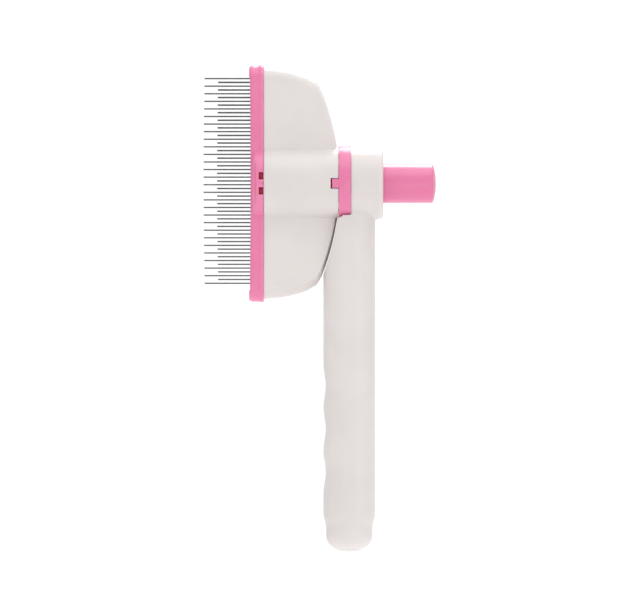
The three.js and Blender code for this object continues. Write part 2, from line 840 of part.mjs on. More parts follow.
function handleScrewHeights() {
  const first = -firstHandleScrew;
  const last = lastHandleScrew - gripLength;
  const step = (last - first) / (handleScrewCount - 1);
  return Array.from({ length: handleScrewCount }, (_, i) => first + i * step);
}

// The whole handle with its collar, before it is split into halves.
function wholeHandle() {
  const collar = turned([
    [collarFront, 0],
    [collarFront, collarRadius],
    ...roundedEdge(collarBack, collarRadius, collarEdge, 1),
    [collarBack, 0],
  ], outerSides);
  const outside = join(cut(gripBody(), headSweep(sweepGap)), collar);
  const hollow = gripHollow();
  const deep = gripWidth / 2 - gripWall / 2;
  const bosses = handleScrewHeights().map((z) => crossRod(-deep, deep, handleScrew.boss, gripCentre, z));
  const boreEnd = handleScrewDepth - handleScrew.length;
  const seatBottom = handleScrewDepth - seatGap / 2;
  const bores = handleScrewHeights().flatMap((z) => [
    crossRod(boreEnd, handleScrewDepth + overshoot, handleScrew.bore, gripCentre, z),
    crossRod(seatBottom, gripWidth, handleScrew.head + seatGap, gripCentre, z),
  ]);
  const swivelBores = [
    disc(collarFront - overshoot, collarBack + overshoot, buttonBore, outerSides),
    disc(collarFront - overshoot, flangeFront, neckBore, outerSides),
    disc(flangeFront - seatGap, flangeBoreBack, flangeBore, outerSides),
  ];
  const plugSeat = lofted([-overshoot, plugThickness + seatGap].map((height) => gripLoop(
    height - gripLength,
    gripCentre - plugHalfDepth - seatGap,
    gripCentre + plugHalfDepth + seatGap,
    plugHalfWidth + seatGap,
  )));
  const stemHoleTop = gripFloor - gripLength + overshoot;
  const stemHole = uprightRod(-gripLength, stemHoleTop, plugStemRadius + seatGap, gripCentre);
  return cut(join(cut(outside, hollow), ...bosses), ...bores, ...swivelBores, plugSeat, stemHole);
}

function handleHalf(whole, side) {
  const wide = 2 * gripLength;
  const half = block([0, wide], span(side * splitGap / 2, side * wide), [-wide, wide]);
  return whole.intersect(half);
}

// The plug fills its seat and ends flush with the dome of the handle.
function endPlug() {
  const loops = [-overshoot, plugThickness].map((height) => gripLoop(
    height - gripLength,
    gripCentre - plugHalfDepth,
    gripCentre + plugHalfDepth,
    plugHalfWidth,
  ));
  const bottom = plugThickness - overshoot - gripLength;
  const stem = uprightRod(bottom, bottom + overshoot + plugStemLength, plugStemRadius, gripCentre);
  return join(lofted(loops), stem).intersect(gripBody());
}

// Assembly: the handle is held, the head turns on it, and the ejector slides in the head.
const brush = new THREE.Group();
const handle = new THREE.Group();
const head = new THREE.Group();
const ejector = new THREE.Group();
brush.add(handle, head, ejector);
brush.position.set(-gripCentre, 0, gripLength);

const whole = wholeHandle();
handle.add(
  piece('handle_left', handleHalf(whole, -1), ivory),
  piece('handle_right', handleHalf(whole, 1), ivory),
  piece('end_plug', endPlug(), ivory),
  piece('wave_washer', waveWasher(), darkSteel),
);
handleScrewHeights().forEach((z, i) => {
  const mesh = piece(`handle_screw_${i + 1}`, screw(handleScrew), steel);
  mesh.rotation.z = -Math.PI / 2;
  mesh.position.set(gripCentre, handleScrewDepth + handleScrew.headHeight, z);
  handle.add(mesh);
});

head.add(
  piece('head_shell', headShell(), ivory),
  piece('swivel_ring', swivelRing(), pink),
  piece('pin_base', pinBase(), ivory),
  piece('backing_plate', backingPlate(), nylon),
  piece('return_spring', returnSpring(), darkSteel),
);
pinRows().forEach((row, i) => head.add(piece(`pin_row_${i + 1}`, pinRow(row), steel)));
baseScrewPlaces().forEach(([y, z], i) => {
  const longScrew = { ...smallScrew, length: smallScrew.length + baseThickness };
  const mesh = piece(`base_screw_${i + 1}`, screw(longScrew), steel);
  mesh.position.set(baseSetback, y, z);
  head.add(mesh);
});
ringScrewPlaces().forEach(([y, z], i) => {
  const mesh = piece(`ring_screw_${i + 1}`, screw(smallScrew), steel);
  mesh.position.set(backWallFront - smallScrew.headHeight - seatGap / 2, y, z);
  head.add(mesh);
});

ejector.add(
  piece('ejector_plate', ejectorPlate(), pink),
  piece('plunger_fork', plungerFork(), deepRed),
  piece('push_button', pushButton(), pink),
);

export default brush;
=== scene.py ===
import json
import math

import bmesh
import bpy
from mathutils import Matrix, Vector
from mathutils.geometry import delaunay_2d_cdt


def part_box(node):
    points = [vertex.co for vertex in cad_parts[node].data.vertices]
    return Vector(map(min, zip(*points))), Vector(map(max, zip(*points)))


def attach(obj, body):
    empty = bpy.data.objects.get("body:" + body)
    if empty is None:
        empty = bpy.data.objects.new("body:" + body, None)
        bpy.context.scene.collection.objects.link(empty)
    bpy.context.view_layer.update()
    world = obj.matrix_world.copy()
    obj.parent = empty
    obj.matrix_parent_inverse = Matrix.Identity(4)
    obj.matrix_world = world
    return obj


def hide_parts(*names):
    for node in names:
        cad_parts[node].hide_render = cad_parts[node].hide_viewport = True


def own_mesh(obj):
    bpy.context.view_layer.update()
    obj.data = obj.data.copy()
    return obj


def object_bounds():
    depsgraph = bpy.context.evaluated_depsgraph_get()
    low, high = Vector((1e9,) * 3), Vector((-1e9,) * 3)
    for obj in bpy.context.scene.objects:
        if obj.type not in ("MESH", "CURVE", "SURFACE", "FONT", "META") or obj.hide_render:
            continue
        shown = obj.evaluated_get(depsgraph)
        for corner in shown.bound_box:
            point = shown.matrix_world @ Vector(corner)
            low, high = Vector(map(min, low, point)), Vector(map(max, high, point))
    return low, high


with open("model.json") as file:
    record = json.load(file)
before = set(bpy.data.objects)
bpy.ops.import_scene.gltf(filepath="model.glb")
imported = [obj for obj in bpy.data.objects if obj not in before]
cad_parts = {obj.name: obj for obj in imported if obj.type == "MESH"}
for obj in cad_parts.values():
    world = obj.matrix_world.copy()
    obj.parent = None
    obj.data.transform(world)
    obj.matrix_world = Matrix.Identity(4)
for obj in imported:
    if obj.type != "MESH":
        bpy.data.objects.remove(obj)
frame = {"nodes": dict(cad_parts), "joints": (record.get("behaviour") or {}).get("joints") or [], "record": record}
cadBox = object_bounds()
scene = bpy.context.scene
print("frame loaded:", len(frame["nodes"]), "nodes")

mm = 0.001
swivel = next(j for j in frame["joints"] if j["name"] == "head_turn")
axisZ = swivel["pos_m"][2]
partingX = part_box("head_shell")[0].x  # plane between the pink plate and the head


# Shapes are drawn in millimetres on the swivel axis: u rearwards from the parting plane, y across, z up.
def at(u, y, z):
    return Vector((partingX + u * mm, y * mm, axisZ + z * mm))


def reach(node):  # a frame piece's box, in the same millimetres
    low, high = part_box(node)
    return {
        "front": (low.x - partingX) / mm, "back": (high.x - partingX) / mm,
        "left": low.y / mm, "right": high.y / mm,
        "bottom": (low.z - axisZ) / mm, "top": (high.z - axisZ) / mm,
    }


def smoothStep(low, high, value):
    t = min(1.0, max(0.0, (value - low) / (high - low)))
    return t * t * (3 - 2 * t)


def softMax(a, b, blend):
    h = max(blend - abs(a - b), 0.0) / blend
    return max(a, b) + h * h * blend / 4


def softMin(a, b, blend):
    return -softMax(-a, -b, blend)


# Mesh helpers

def makeObject(name, points, faces):
    mesh = bpy.data.meshes.new(name)
    mesh.from_pydata([at(*p) for p in points], [], faces)
    obj = bpy.data.objects.new(name, mesh)
    scene.collection.objects.link(obj)
    return obj


# Quads between loops of equal length. The ends are closed by a flat face or by a pole point, or the last
# loop is joined to the first.
def skin(name, loops, closing="flat"):
    count = len(loops[0])
    points = [p for loop in loops for p in loop]
    faces = []
    last = len(loops) - 1
    rows = len(loops) if closing == "ring" else last
    for level in range(rows):
        here = level * count
        there = (level + 1) % len(loops) * count
        for i in range(count):
            j = (i + 1) % count
            faces.append((here + i, here + j, there + j, there + i))
    if closing == "flat":
        faces.append(tuple(reversed(range(count))))
        faces.append(tuple(range(last * count, last * count + count)))
    if closing == "pole":
        for level, flip in ((0, True), (last, False)):
            base = level * count
            centre = tuple(sum(p[k] for p in loops[level]) / count for k in range(3))
            points.append(centre)
            for i in range(count):
                edge = (base + i, base + (i + 1) % count)
                pair = tuple(reversed(edge)) if flip else edge
                faces.append((*pair, len(points) - 1))
    return makeObject(name, points, faces)


def circleLoop(u, radius, sides, y=0.0, z=0.0):
    turn = 2 * math.pi / sides
    return [(u, y + radius * math.sin(turn * i), z + radius * math.cos(turn * i)) for i in range(sides)]


# Rounds the corners of a profile: each point is (u, radius) or (u, radius, fillet).
def filleted(profile, closed, steps=4):
    out = []
    count = len(profile)
    for i, point in enumerate(profile):
        fillet = point[2] if len(point) > 2 else 0
        ends = not closed and i in (0, count - 1)
        here = Vector(point[:2])
        if not fillet or ends:
            out.append(tuple(here))
            continue
        before = (Vector(profile[i - 1][:2]) - here).normalized()
        after = (Vector(profile[(i + 1) % count][:2]) - here).normalized()
        half = math.acos(max(-1, min(1, before.dot(after)))) / 2
        centre = here + (before + after).normalized() * (fillet / math.sin(half))
        start = (here + before * (fillet / math.tan(half)) - centre).normalized()
        finish = (here + after * (fillet / math.tan(half)) - centre).normalized()
        for step in range(steps + 1):
            out.append(tuple(centre + start.slerp(finish, step / steps) * fillet))
    return out


# A turned piece about the swivel axis. Open profiles start and end near the axis.
def turned(name, profile, closed=True, sides=128):
    loops = [circleLoop(u, radius, sides) for u, radius in filleted(profile, closed)]
    return skin(name, loops, "ring" if closed else "pole")


def block(name, u, y, z):
    points = [(a, b, c) for a in u for b in y for c in z]
    faces = [(0, 1, 3, 2), (4, 6, 7, 5), (0, 4, 5, 1), (2, 3, 7, 6), (0, 2, 6, 4), (1, 5, 7, 3)]
    return makeObject(name, points, faces)


def crossPin(name, y, u, z, profile, sides=48):  # a turned piece across the brush, from (y, radius) points
    loops = []
    for across, radius in filleted(profile, False):
        turn = 2 * math.pi / sides
        loops.append([(u + radius * math.cos(turn * i), y + across, z + radius * math.sin(turn * i))
                      for i in range(sides)])
    return skin(name, loops, "pole")


def bake(obj):  # turns the modifiers into mesh
    graph = bpy.context.evaluated_depsgraph_get()
    mesh = bpy.data.meshes.new_from_object(obj.evaluated_get(graph))
    obj.modifiers.clear()
    obj.data = mesh
    return obj


def tidyNormals(obj):
    bm = bmesh.new()
    bm.from_mesh(obj.data)
    bmesh.ops.remove_doubles(bm, verts=bm.verts, dist=1e-7)
    bmesh.ops.recalc_face_normals(bm, faces=bm.faces)
    bm.to_mesh(obj.data)
    bm.free()
    return obj


def carve(obj, *tools, operation="DIFFERENCE"):
    tidyNormals(obj)
    for tool in tools:
        tidyNormals(tool)
        cut = obj.modifiers.new("carve", "BOOLEAN")
        cut.operation = operation
        cut.solver = "EXACT"
        cut.object = tool
        bake(obj)
        bpy.data.objects.remove(tool)
    return obj


def smoothFaces(obj, sharpFrom=35):  # smooth shading, with edges over the angle kept sharp
    tidyNormals(obj)
    bm = bmesh.new()
    bm.from_mesh(obj.data)
    for face in bm.faces:
        face.smooth = True
    for edge in bm.edges:
        edge.smooth = edge.calc_face_angle(0) < math.radians(sharpFrom)
    bm.to_mesh(obj.data)
    bm.free()
    return obj


# Fuses a mesh into even quads, which rounds its inner and outer corners a little.
def fuse(obj, voxel, softening):
    remesh = obj.modifiers.new("fuse", "REMESH")
    remesh.mode = "VOXEL"
    remesh.voxel_size = voxel * mm
    bake(obj)
    soften = obj.modifiers.new("soften", "SMOOTH")
    soften.factor = 0.5
    soften.iterations = softening
    return bake(obj)


# Shader node groups

def newGroup(name, inputs, outputs):
    group = bpy.data.node_groups.new(name, "ShaderNodeTree")
    for label, value in inputs.items():
        kind = "NodeSocketVector" if value is None else "NodeSocketFloat"
        if isinstance(value, tuple):
            kind = "NodeSocketColor"
        socket = group.interface.new_socket(label, in_out="INPUT", socket_type=kind)
        if value is not None:
            socket.default_value = value
    for label, kind in outputs.items():
        group.interface.new_socket(label, in_out="OUTPUT", socket_type=kind)
    return group, Wiring(group.nodes, group.links)


class Wiring:  # short calls for adding and joining nodes
    def __init__(self, nodes, links):
        self.nodes = nodes
        self.links = links

    def add(self, kind, settings=None, **values):
        node = self.nodes.new(kind)
        for key, value in (settings or {}).items():
            setattr(node, key, value)
        for key, value in values.items():
            self.feed(node.inputs[key.replace("_", " ")], value)
        return node

    def feed(self, socket, value):
        if isinstance(value, bpy.types.NodeSocket):
            self.links.new(value, socket)
        else:
            socket.default_value = value

    def math(self, operation, a, b=0.0, clamp=False):
        node = self.add("ShaderNodeMath", {"operation": operation, "use_clamp": clamp})
        self.feed(node.inputs[0], a)
        self.feed(node.inputs[1], b)
        return node.outputs[0]

    def mix(self, factor, a, b):
        node = self.add("ShaderNodeMix", {"data_type": "RGBA"})
        self.feed(node.inputs["Factor"], factor)
        self.feed(node.inputs[6], a)
        self.feed(node.inputs[7], b)
        return node.outputs[2]

    def ramp(self, value, low, high):
        node = self.add("ShaderNodeMapRange", {"interpolation_type": "SMOOTHSTEP"})
        self.feed(node.inputs["Value"], value)
        self.feed(node.inputs["From Min"], low)
        self.feed(node.inputs["From Max"], high)
        return node.outputs["Result"]


# Fine spark texture of a moulded plastic skin, with long faint flow marks.
def mouldSkinGroup():
    group, w = newGroup("mouldSkin", {"Place": None, "Grain Size": 0.35, "Flow": 0.4},
                        {"Height": "NodeSocketFloat", "Shine": "NodeSocketFloat", "Tone": "NodeSocketFloat"})
    source = w.add("NodeGroupInput")
    sink = w.add("NodeGroupOutput")
    frequency = w.math("DIVIDE", 1 / mm, source.outputs["Grain Size"])
    grain = w.add("ShaderNodeTexNoise", Vector=source.outputs["Place"], Scale=frequency, Detail=3.0,
                  Roughness=0.55)
    broad = w.add("ShaderNodeTexNoise", Vector=source.outputs["Place"], Scale=55.0, Detail=2.0)
    stretch = w.add("ShaderNodeMapping", Vector=source.outputs["Place"], Scale=(260.0, 260.0, 35.0))
    flow = w.add("ShaderNodeTexNoise", Vector=stretch.outputs[0], Scale=1.0, Detail=2.0)
    flowPart = w.math("MULTIPLY", flow.outputs["Fac"], source.outputs["Flow"])
    w.feed(sink.inputs["Height"], w.math("ADD", grain.outputs["Fac"], flowPart))
    w.feed(sink.inputs["Shine"], w.math("ADD", w.math("MULTIPLY", grain.outputs["Fac"], 0.4),
                                        w.math("MULTIPLY", broad.outputs["Fac"], 0.6)))
    w.feed(sink.inputs["Tone"], broad.outputs["Fac"])
    return group


# Where hands and shelves rub: raised edges, broken up by a soft noise.
def edgeRubGroup():
    group, w = newGroup("edgeRub", {"Place": None, "Amount": 0.5, "Width": 0.04}, {"Mask": "NodeSocketFloat"})
    source = w.add("NodeGroupInput")
    sink = w.add("NodeGroupOutput")
    shape = w.add("ShaderNodeNewGeometry")
    low = 0.515
    edge = w.ramp(shape.outputs["Pointiness"], low, w.math("ADD", source.outputs["Width"], low))
    patches = w.add("ShaderNodeTexNoise", Vector=source.outputs["Place"], Scale=320.0, Detail=4.0)
    broken = w.ramp(patches.outputs["Fac"], 0.42, 0.68)
    rubbed = w.math("MULTIPLY", edge, broken)
    w.feed(sink.inputs["Mask"], w.math("MULTIPLY", rubbed, source.outputs["Amount"], clamp=True))
    return group


# Hairline scratches in two crossing directions, and sparse dust specks.
def handlingGroup():
    group, w = newGroup("handling", {"Place": None, "Scratches": 0.5, "Dust": 0.3},
                        {"Scratch Mask": "NodeSocketFloat", "Dust Mask": "NodeSocketFloat"})
    source = w.add("NodeGroupInput")
    sink = w.add("NodeGroupOutput")
    masks = []
    for tilt, size in ((0.5, 900.0), (-0.9, 1300.0)):
        turn = w.add("ShaderNodeMapping", Vector=source.outputs["Place"], Rotation=(tilt, tilt / 2, tilt),
                     Scale=(size, size / 30, size / 30))
        lines = w.add("ShaderNodeTexNoise", Vector=turn.outputs[0], Scale=1.0, Detail=1.0)
        masks.append(w.ramp(lines.outputs["Fac"], 0.67, 0.72))
    both = w.math("MAXIMUM", masks[0], masks[1])
    w.feed(sink.inputs["Scratch Mask"], w.math("MULTIPLY", both, source.outputs["Scratches"], clamp=True))
    cells = w.add("ShaderNodeTexVoronoi", Vector=source.outputs["Place"], Scale=420.0)
    speck = w.math("SUBTRACT", 1.0, w.ramp(cells.outputs["Distance"], 0.05, 0.12))
    w.feed(sink.inputs["Dust Mask"], w.math("MULTIPLY", speck, source.outputs["Dust"], clamp=True))
    return group


mouldSkin = mouldSkinGroup()
edgeRub = edgeRubGroup()
handling = handlingGroup()
print("shader groups made")


def newMaterial(name):
    material = bpy.data.materials.new(name)
    material.use_nodes = True
    nodes = material.node_tree.nodes
    nodes.clear()
    w = Wiring(nodes, material.node_tree.links)
    shader = w.add("ShaderNodeBsdfPrincipled")
    output = w.add("ShaderNodeOutputMaterial")
    w.feed(output.inputs["Surface"], shader.outputs[0])
    place = w.add("ShaderNodeTexCoord").outputs["Object"]
    return material, w, shader, place


def plastic(name, look):
    material, w, shader, place = newMaterial(name)
    skinNode = w.add("ShaderNodeGroup", {"node_tree": mouldSkin}, Place=place, Grain_Size=look["grainSize"],
                     Flow=look["flow"])
    rub = w.add("ShaderNodeGroup", {"node_tree": edgeRub}, Place=place, Amount=look["edgeRub"], Width=0.05)
    used = w.add("ShaderNodeGroup", {"node_tree": handling}, Place=place, Scratches=look["scratches"],
                 Dust=look["dust"])
    tone = w.ramp(skinNode.outputs["Tone"], 0.3, 0.7)
    base = w.mix(tone, look["deep"], look["colour"])
    rubbed = w.mix(rub.outputs["Mask"], base, look["rubbed"])
    dusty = w.mix(used.outputs["Dust Mask"], rubbed, look["dustColour"])
    w.feed(shader.inputs["Base Color"], dusty)
    shine = w.math("MULTIPLY", skinNode.outputs["Shine"], look["roughRange"])
    rough = w.math("ADD", shine, look["roughness"] - look["roughRange"] / 2)
    scuffed = w.math("ADD", rough, w.math("MULTIPLY", used.outputs["Scratch Mask"], 0.12))
    w.feed(shader.inputs["Roughness"], w.math("ADD", scuffed, w.math("MULTIPLY", rub.outputs["Mask"], 0.15)))
    scratchDepth = w.math("MULTIPLY", used.outputs["Scratch Mask"], -0.6)
    height = w.math("ADD", skinNode.outputs["Height"], scratchDepth)
    bump = w.add("ShaderNodeBump", Strength=look["bump"], Distance=look["bumpDepth"] * mm, Height=height)
    w.feed(shader.inputs["Normal"], bump.outputs[0])
    shader.inputs["IOR"].default_value = 1.52
    shader.inputs["Subsurface Weight"].default_value = look["subsurface"]
    shader.inputs["Subsurface Radius"].default_value = look["subsurfaceRadius"]
    shader.inputs["Subsurface Scale"].default_value = 1 * mm
    return material


def metal(name, look):
    material, w, shader, place = newMaterial(name)
    drawn = w.add("ShaderNodeMapping", Vector=place, Scale=look["drawn"])
    lines = w.add("ShaderNodeTexNoise", Vector=drawn.outputs[0], Scale=1.0, Detail=3.0)
    blotch = w.add("ShaderNodeTexNoise", Vector=place, Scale=260.0, Detail=2.0)
    used = w.add("ShaderNodeGroup", {"node_tree": handling}, Place=place, Scratches=0.5, Dust=0.1)
    tone = w.ramp(blotch.outputs["Fac"], 0.3, 0.7)
    w.feed(shader.inputs["Base Color"], w.mix(tone, look["deep"], look["colour"]))
    rough = w.math("ADD", w.math("MULTIPLY", lines.outputs["Fac"], 0.22), look["roughness"] - 0.11)
    scuffed = w.math("ADD", rough, w.math("MULTIPLY", used.outputs["Scratch Mask"], 0.1))
    w.feed(shader.inputs["Roughness"], scuffed)
    bump = w.add("ShaderNodeBump", Strength=0.25, Distance=0.02 * mm, Height=lines.outputs["Fac"])
    w.feed(shader.inputs["Normal"], bump.outputs[0])
    shader.inputs["Metallic"].default_value = 1.0
    return material


ivoryLook = {
    "colour": (0.735, 0.690, 0.672, 1), "deep": (0.700, 0.655, 0.640, 1), "rubbed": (0.80, 0.77, 0.75, 1),
    "dustColour": (0.62, 0.60, 0.57, 1), "grainSize": 0.32, "flow": 0.35, "edgeRub": 0.35, "scratches": 0.35,
    "dust": 0.12, "roughness": 0.36, "roughRange": 0.12, "bump": 0.16, "bumpDepth": 0.03,
    "subsurface": 0.25, "subsurfaceRadius": (1.6, 1.0, 0.6),
}
pinkLook = {
    "colour": (0.800, 0.215, 0.400, 1), "deep": (0.760, 0.185, 0.365, 1), "rubbed": (0.86, 0.36, 0.52, 1),
    "dustColour": (0.70, 0.45, 0.52, 1), "grainSize": 0.28, "flow": 0.3, "edgeRub": 0.3, "scratches": 0.35,
    "dust": 0.1, "roughness": 0.3, "roughRange": 0.1, "bump": 0.12, "bumpDepth": 0.025,
    "subsurface": 0.15, "subsurfaceRadius": (1.6, 0.5, 0.7),
}
# Very dark red for the fork: partly the part's own colour, partly painted shade, so that the plate's windows look
# dark inside.
redLookWithPaintedShade = dict(pinkLook, colour=(0.50, 0.006, 0.03, 1), deep=(0.44, 0.005, 0.025, 1),
               rubbed=(0.52, 0.03, 0.06, 1), roughness=0.6, roughRange=0.06)
innerLook = dict(ivoryLook, colour=(0.66, 0.65, 0.62, 1), deep=(0.60, 0.59, 0.56, 1), roughness=0.5,
                 edgeRub=0.1)
# Pin steel is given a very dark base colour: it paints in the dark reflections that the thin pins show, which the
# white surroundings would not give a real steel colour.
pinLookPaintedDark = {"colour": (0.15, 0.15, 0.162, 1), "deep": (0.11, 0.11, 0.12, 1), "roughness": 0.34,
           "drawn": (90.0, 5200.0, 5200.0)}
springLook = dict(pinLookPaintedDark, colour=(0.34, 0.34, 0.36, 1), deep=(0.25, 0.25, 0.27, 1),
                  drawn=(900.0, 900.0, 900.0))
screwLook = dict(pinLookPaintedDark, colour=(0.56, 0.57, 0.58, 1), deep=(0.44, 0.45, 0.47, 1),
                 drawn=(2600.0, 400.0, 2600.0))

ivory = plastic("ivoryPlastic", ivoryLook)
pink = plastic("pinkPlastic", pinkLook)
red = plastic("redPlasticWithPaintedShade", redLookWithPaintedShade)
inner = plastic("innerPlastic", innerLook)
pinSteelPaintedDark = metal("pinSteelPaintedDark", pinLookPaintedDark)
springSteel = metal("springSteel", springLook)
screwSteel = metal("screwSteel", screwLook)
slotMaterials = {"ivory_plastic": ivory, "pink_plastic": pink, "red_plastic": red, "inner_plastic": inner,
                 "pin_steel": pinSteelPaintedDark, "spring_steel": springSteel, "screw_steel": screwSteel}
print("materials made")


def place(obj, slotName, body, *nodes, sharpFrom=35):  # finish, body and the frame pieces it stands for
    smoothFaces(obj, sharpFrom)
    obj.data.materials.clear()
    obj.data.materials.append(slotMaterials[slotName])
    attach(obj, body)
    if nodes:
        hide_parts(*nodes)
    print("made", obj.name, len(obj.data.polygons), "faces")
    return obj


# Head shell: a long body with drafted flanks, run together with the barrel around the swivel axis.
shellBox = reach("head_shell")
shell = {
    "halfLength": shellBox["top"], "depth": shellBox["back"], "barrelFront": shellBox["right"],
    "barrelDraft": 0.8, "barrelBore": 12.2, "backWall": 1.85, "buttonHole": 7.5, "wall": 1.6,
    "endRadius": 43, "backRadius": 92, "backApex": 0.45, "cornerBlend": 3.8,
    "halfWidth": 7.5, "draft": 0.12, "edge": 3.6, "easing": (1.15, 1.5), "seam": 0.3, "rim": 0.12, "lap": 0.2,
    "notchHalf": 1.95, "notchFront": 24.4, "notchInside": 12.0,
    "frontStep": 1.2, "frontSteps": 13, "backFrom": 39.2, "backTo": 11, "backStep": 0.7,
    "innerDepths": (22, 19, 15, 10, 5),
}


def backArc(z, s):
    return s["depth"] + s["backApex"] - s["backRadius"] + math.sqrt(s["backRadius"] ** 2 - z ** 2)


def shellReach(u, s):  # half length of the body at a depth
    ends = math.sqrt(s["endRadius"] ** 2 - u ** 2) - s["endRadius"] + s["halfLength"]
    fromCentre = u - (s["depth"] + s["backApex"] - s["backRadius"])
    back = math.sqrt(max(s["backRadius"] ** 2 - fromCentre ** 2, 1.0))
    return softMin(ends, back, s["cornerBlend"])


# Distance to a box with eased edges, at an angle from +z towards +y. Above 1, crispness flattens the easing.
def boxRay(angle, halfWidth, halfLength, edge, crispness):
    dy, dz = math.sin(angle), math.cos(angle)
    flank = halfWidth / max(dy, 1e-9)
    if flank * dz <= halfLength - edge:
        return flank
    end = halfLength / max(dz, 1e-9)
    if end * dy <= halfWidth - edge:
        return end
    low, high = 0.0, math.pi / 2
    for _ in range(24):
        middle = (low + high) / 2
        y = halfWidth - edge + edge * math.sin(middle) ** crispness
        z = halfLength - edge + edge * math.cos(middle) ** crispness
        if math.atan2(y, z) < angle:
            low = middle
        else:
            high = middle
    return math.hypot(y, z)


def shellAngles(u, s):  # one quarter, closer together at the rounded edge and where flank and barrel meet
    halfWidth = s["halfWidth"] - s["draft"] * u
    halfLength = shellReach(u, s)
    barrel = s["barrelFront"] - s["barrelDraft"] * u / s["depth"]
    meet = math.asin(halfWidth / barrel)
    flankEnd = math.atan2(halfWidth, max(halfLength - s["edge"], 0.1))
    flankEnd = min(flankEnd, meet - 0.06)
    capEnd = min(math.atan2(halfWidth - s["edge"], halfLength), flankEnd - 0.03)
    spread = 0.05
    angles = [capEnd * i / 8 for i in range(8)]
    angles += [capEnd + (flankEnd - capEnd) * i / 18 for i in range(18)]
    zHigh = halfWidth / math.tan(flankEnd)
    zLow = halfWidth / math.tan(meet - spread)
    angles += [math.atan2(halfWidth, zHigh + (zLow - zHigh) * i / 18) for i in range(18)]
    angles += [meet - spread + 2 * spread * i / 10 for i in range(10)]
    rest = math.pi / 2 - meet - spread
    angles += [meet + spread + rest * i / 22 for i in range(23)]
    return angles


def aroundShell(quarter):  # four mirrored quarters from one
    half = quarter + [math.pi - a for a in reversed(quarter[:-1])]
    return half + [2 * math.pi - a for a in reversed(half[1:-1])]


def shellLoop(u, s, inset=0.0, inside=False):
    wall = s["wall"] if inside else 0.0
    halfWidth = s["halfWidth"] - s["draft"] * u - wall
    halfLength = shellReach(u, s) - wall
    barrel = s["barrelBore"] if inside else s["barrelFront"] - s["barrelDraft"] * u / s["depth"]
    edge = min(s["edge"], halfWidth) if not inside else s["edge"] - wall
    soft, flat = s["easing"]
    crispness = soft + (flat - soft) * smoothStep(13, 22, u)
    loop = []
    for angle in aroundShell(shellAngles(u, s)):
        folded = abs(math.atan2(math.sin(angle), math.cos(angle)))
        folded = min(folded, math.pi - folded)
        radius = softMax(boxRay(folded, halfWidth, halfLength, edge, crispness), barrel, s["seam"]) - inset
        loop.append((u, radius * math.sin(angle), radius * math.cos(angle)))
    return loop


def ringOfAngles(u, radius, s):
    angles = aroundShell(shellAngles(s["depth"] - s["backWall"], s))
    return [(u, radius * math.sin(a), radius * math.cos(a)) for a in angles]


def makeHeadShell(s):
    rim = s["rim"]
    depths = [0.3] + [s["frontStep"] * i for i in range(1, s["frontSteps"] + 1)]
    z = s["backFrom"]
    while z > s["backTo"]:
        depths.append(backArc(z, s))
        z -= s["backStep"]
    depths = [d for d in depths if d < s["depth"] - rim]
    innerBack = s["depth"] - s["backWall"]
    front, back = -s["lap"], s["depth"] + s["lap"] / 2  # it laps over the gaps to its neighbours
    outer = [shellLoop(front, s, rim), shellLoop(front + 0.3 * rim, s, 0.3 * rim), shellLoop(front + rim, s)]
    outer += [shellLoop(d, s) for d in depths]
    outer += [shellLoop(back - rim, s), shellLoop(back - 0.3 * rim, s, 0.3 * rim), shellLoop(back, s, rim)]
    hole = [ringOfAngles(back, s["buttonHole"], s), ringOfAngles(innerBack, s["buttonHole"], s)]
    inside = [shellLoop(d, s, inside=True) for d in (innerBack, *s["innerDepths"], front)]
    obj = skin("headShell", outer + hole + inside, "ring")
    far = s["barrelFront"] + 2
    notches = [block("notch", (s["notchFront"], s["depth"] + 1), y, (-s["notchHalf"], s["notchHalf"]))
               for y in ((s["notchInside"], far), (-far, -s["notchInside"]))]
    return carve(obj, *notches)


place(makeHeadShell(shell), "ivory_plastic", "head", "head_shell", sharpFrom=40)

# Swivel ring with its two tabs, its neck and the flange caught in the collar.
ringBox = reach("swivel_ring")
swivelRing = {
    "front": ringBox["front"] + 2.5, "back": 31.9, "radius": ringBox["top"], "bore": 7.5, "neck": 9.5,
    "flange": 11.3, "flangeFront": 34.5, "flangeBack": ringBox["back"], "edge": 0.25,
    "tabFront": ringBox["front"], "tabHalf": 1.65, "tabInside": 12.35, "tabOutside": 13.62,
}


def makeSwivelRing(s):
    ring = turned("swivelRing", [
        (s["front"], s["bore"]), (s["front"], s["radius"], s["edge"]), (s["back"], s["radius"], s["edge"]),
        (s["back"], s["neck"]), (s["flangeFront"], s["neck"]), (s["flangeFront"], s["flange"]),
        (s["flangeBack"], s["flange"]), (s["flangeBack"], s["bore"]),
    ])
    tabs = turned("tabs", [(s["tabFront"], s["tabInside"]), (s["tabFront"], s["tabOutside"], 0.2),
                           (s["front"] + 1, s["tabOutside"]), (s["front"] + 1, s["tabInside"])])
    wide = s["radius"] + 1
    window = block("window", (s["tabFront"] - 1, s["back"]), (-wide, wide), (-s["tabHalf"], s["tabHalf"]))
    carve(tabs, window, operation="INTERSECT")
    return carve(ring, tabs, operation="UNION")


place(makeSwivelRing(swivelRing), "pink_plastic", "head", "swivel_ring", sharpFrom=30)

# Push button: a deep cup with a softly domed end.
buttonBox = reach("push_button")
button = {"front": buttonBox["front"], "back": buttonBox["back"], "radius": buttonBox["top"], "wall": 1.15,
          "dome": 1.4, "shoulder": 0.8, "roof": 1.2}


def makeButton(s):
    rim = s["back"] - s["dome"]
    insideRadius = s["radius"] - s["wall"]
    roof = rim - s["roof"]
    profile = [(roof, 0.4), (roof, insideRadius, 0.6), (s["front"], insideRadius, 0.2),
               (s["front"], s["radius"], 0.3), (rim + 0.15, s["radius"], s["shoulder"])]
    for step in range(1, 10):
        radius = (s["radius"] - 0.5) * (1 - step / 10)
        profile.append((s["back"] - (s["dome"] - 0.3) * (radius / s["radius"]) ** 2, radius))
    return turned("pushButton", profile, closed=False)


place(makeButton(button), "pink_plastic", "ejector", "push_button", sharpFrom=50)

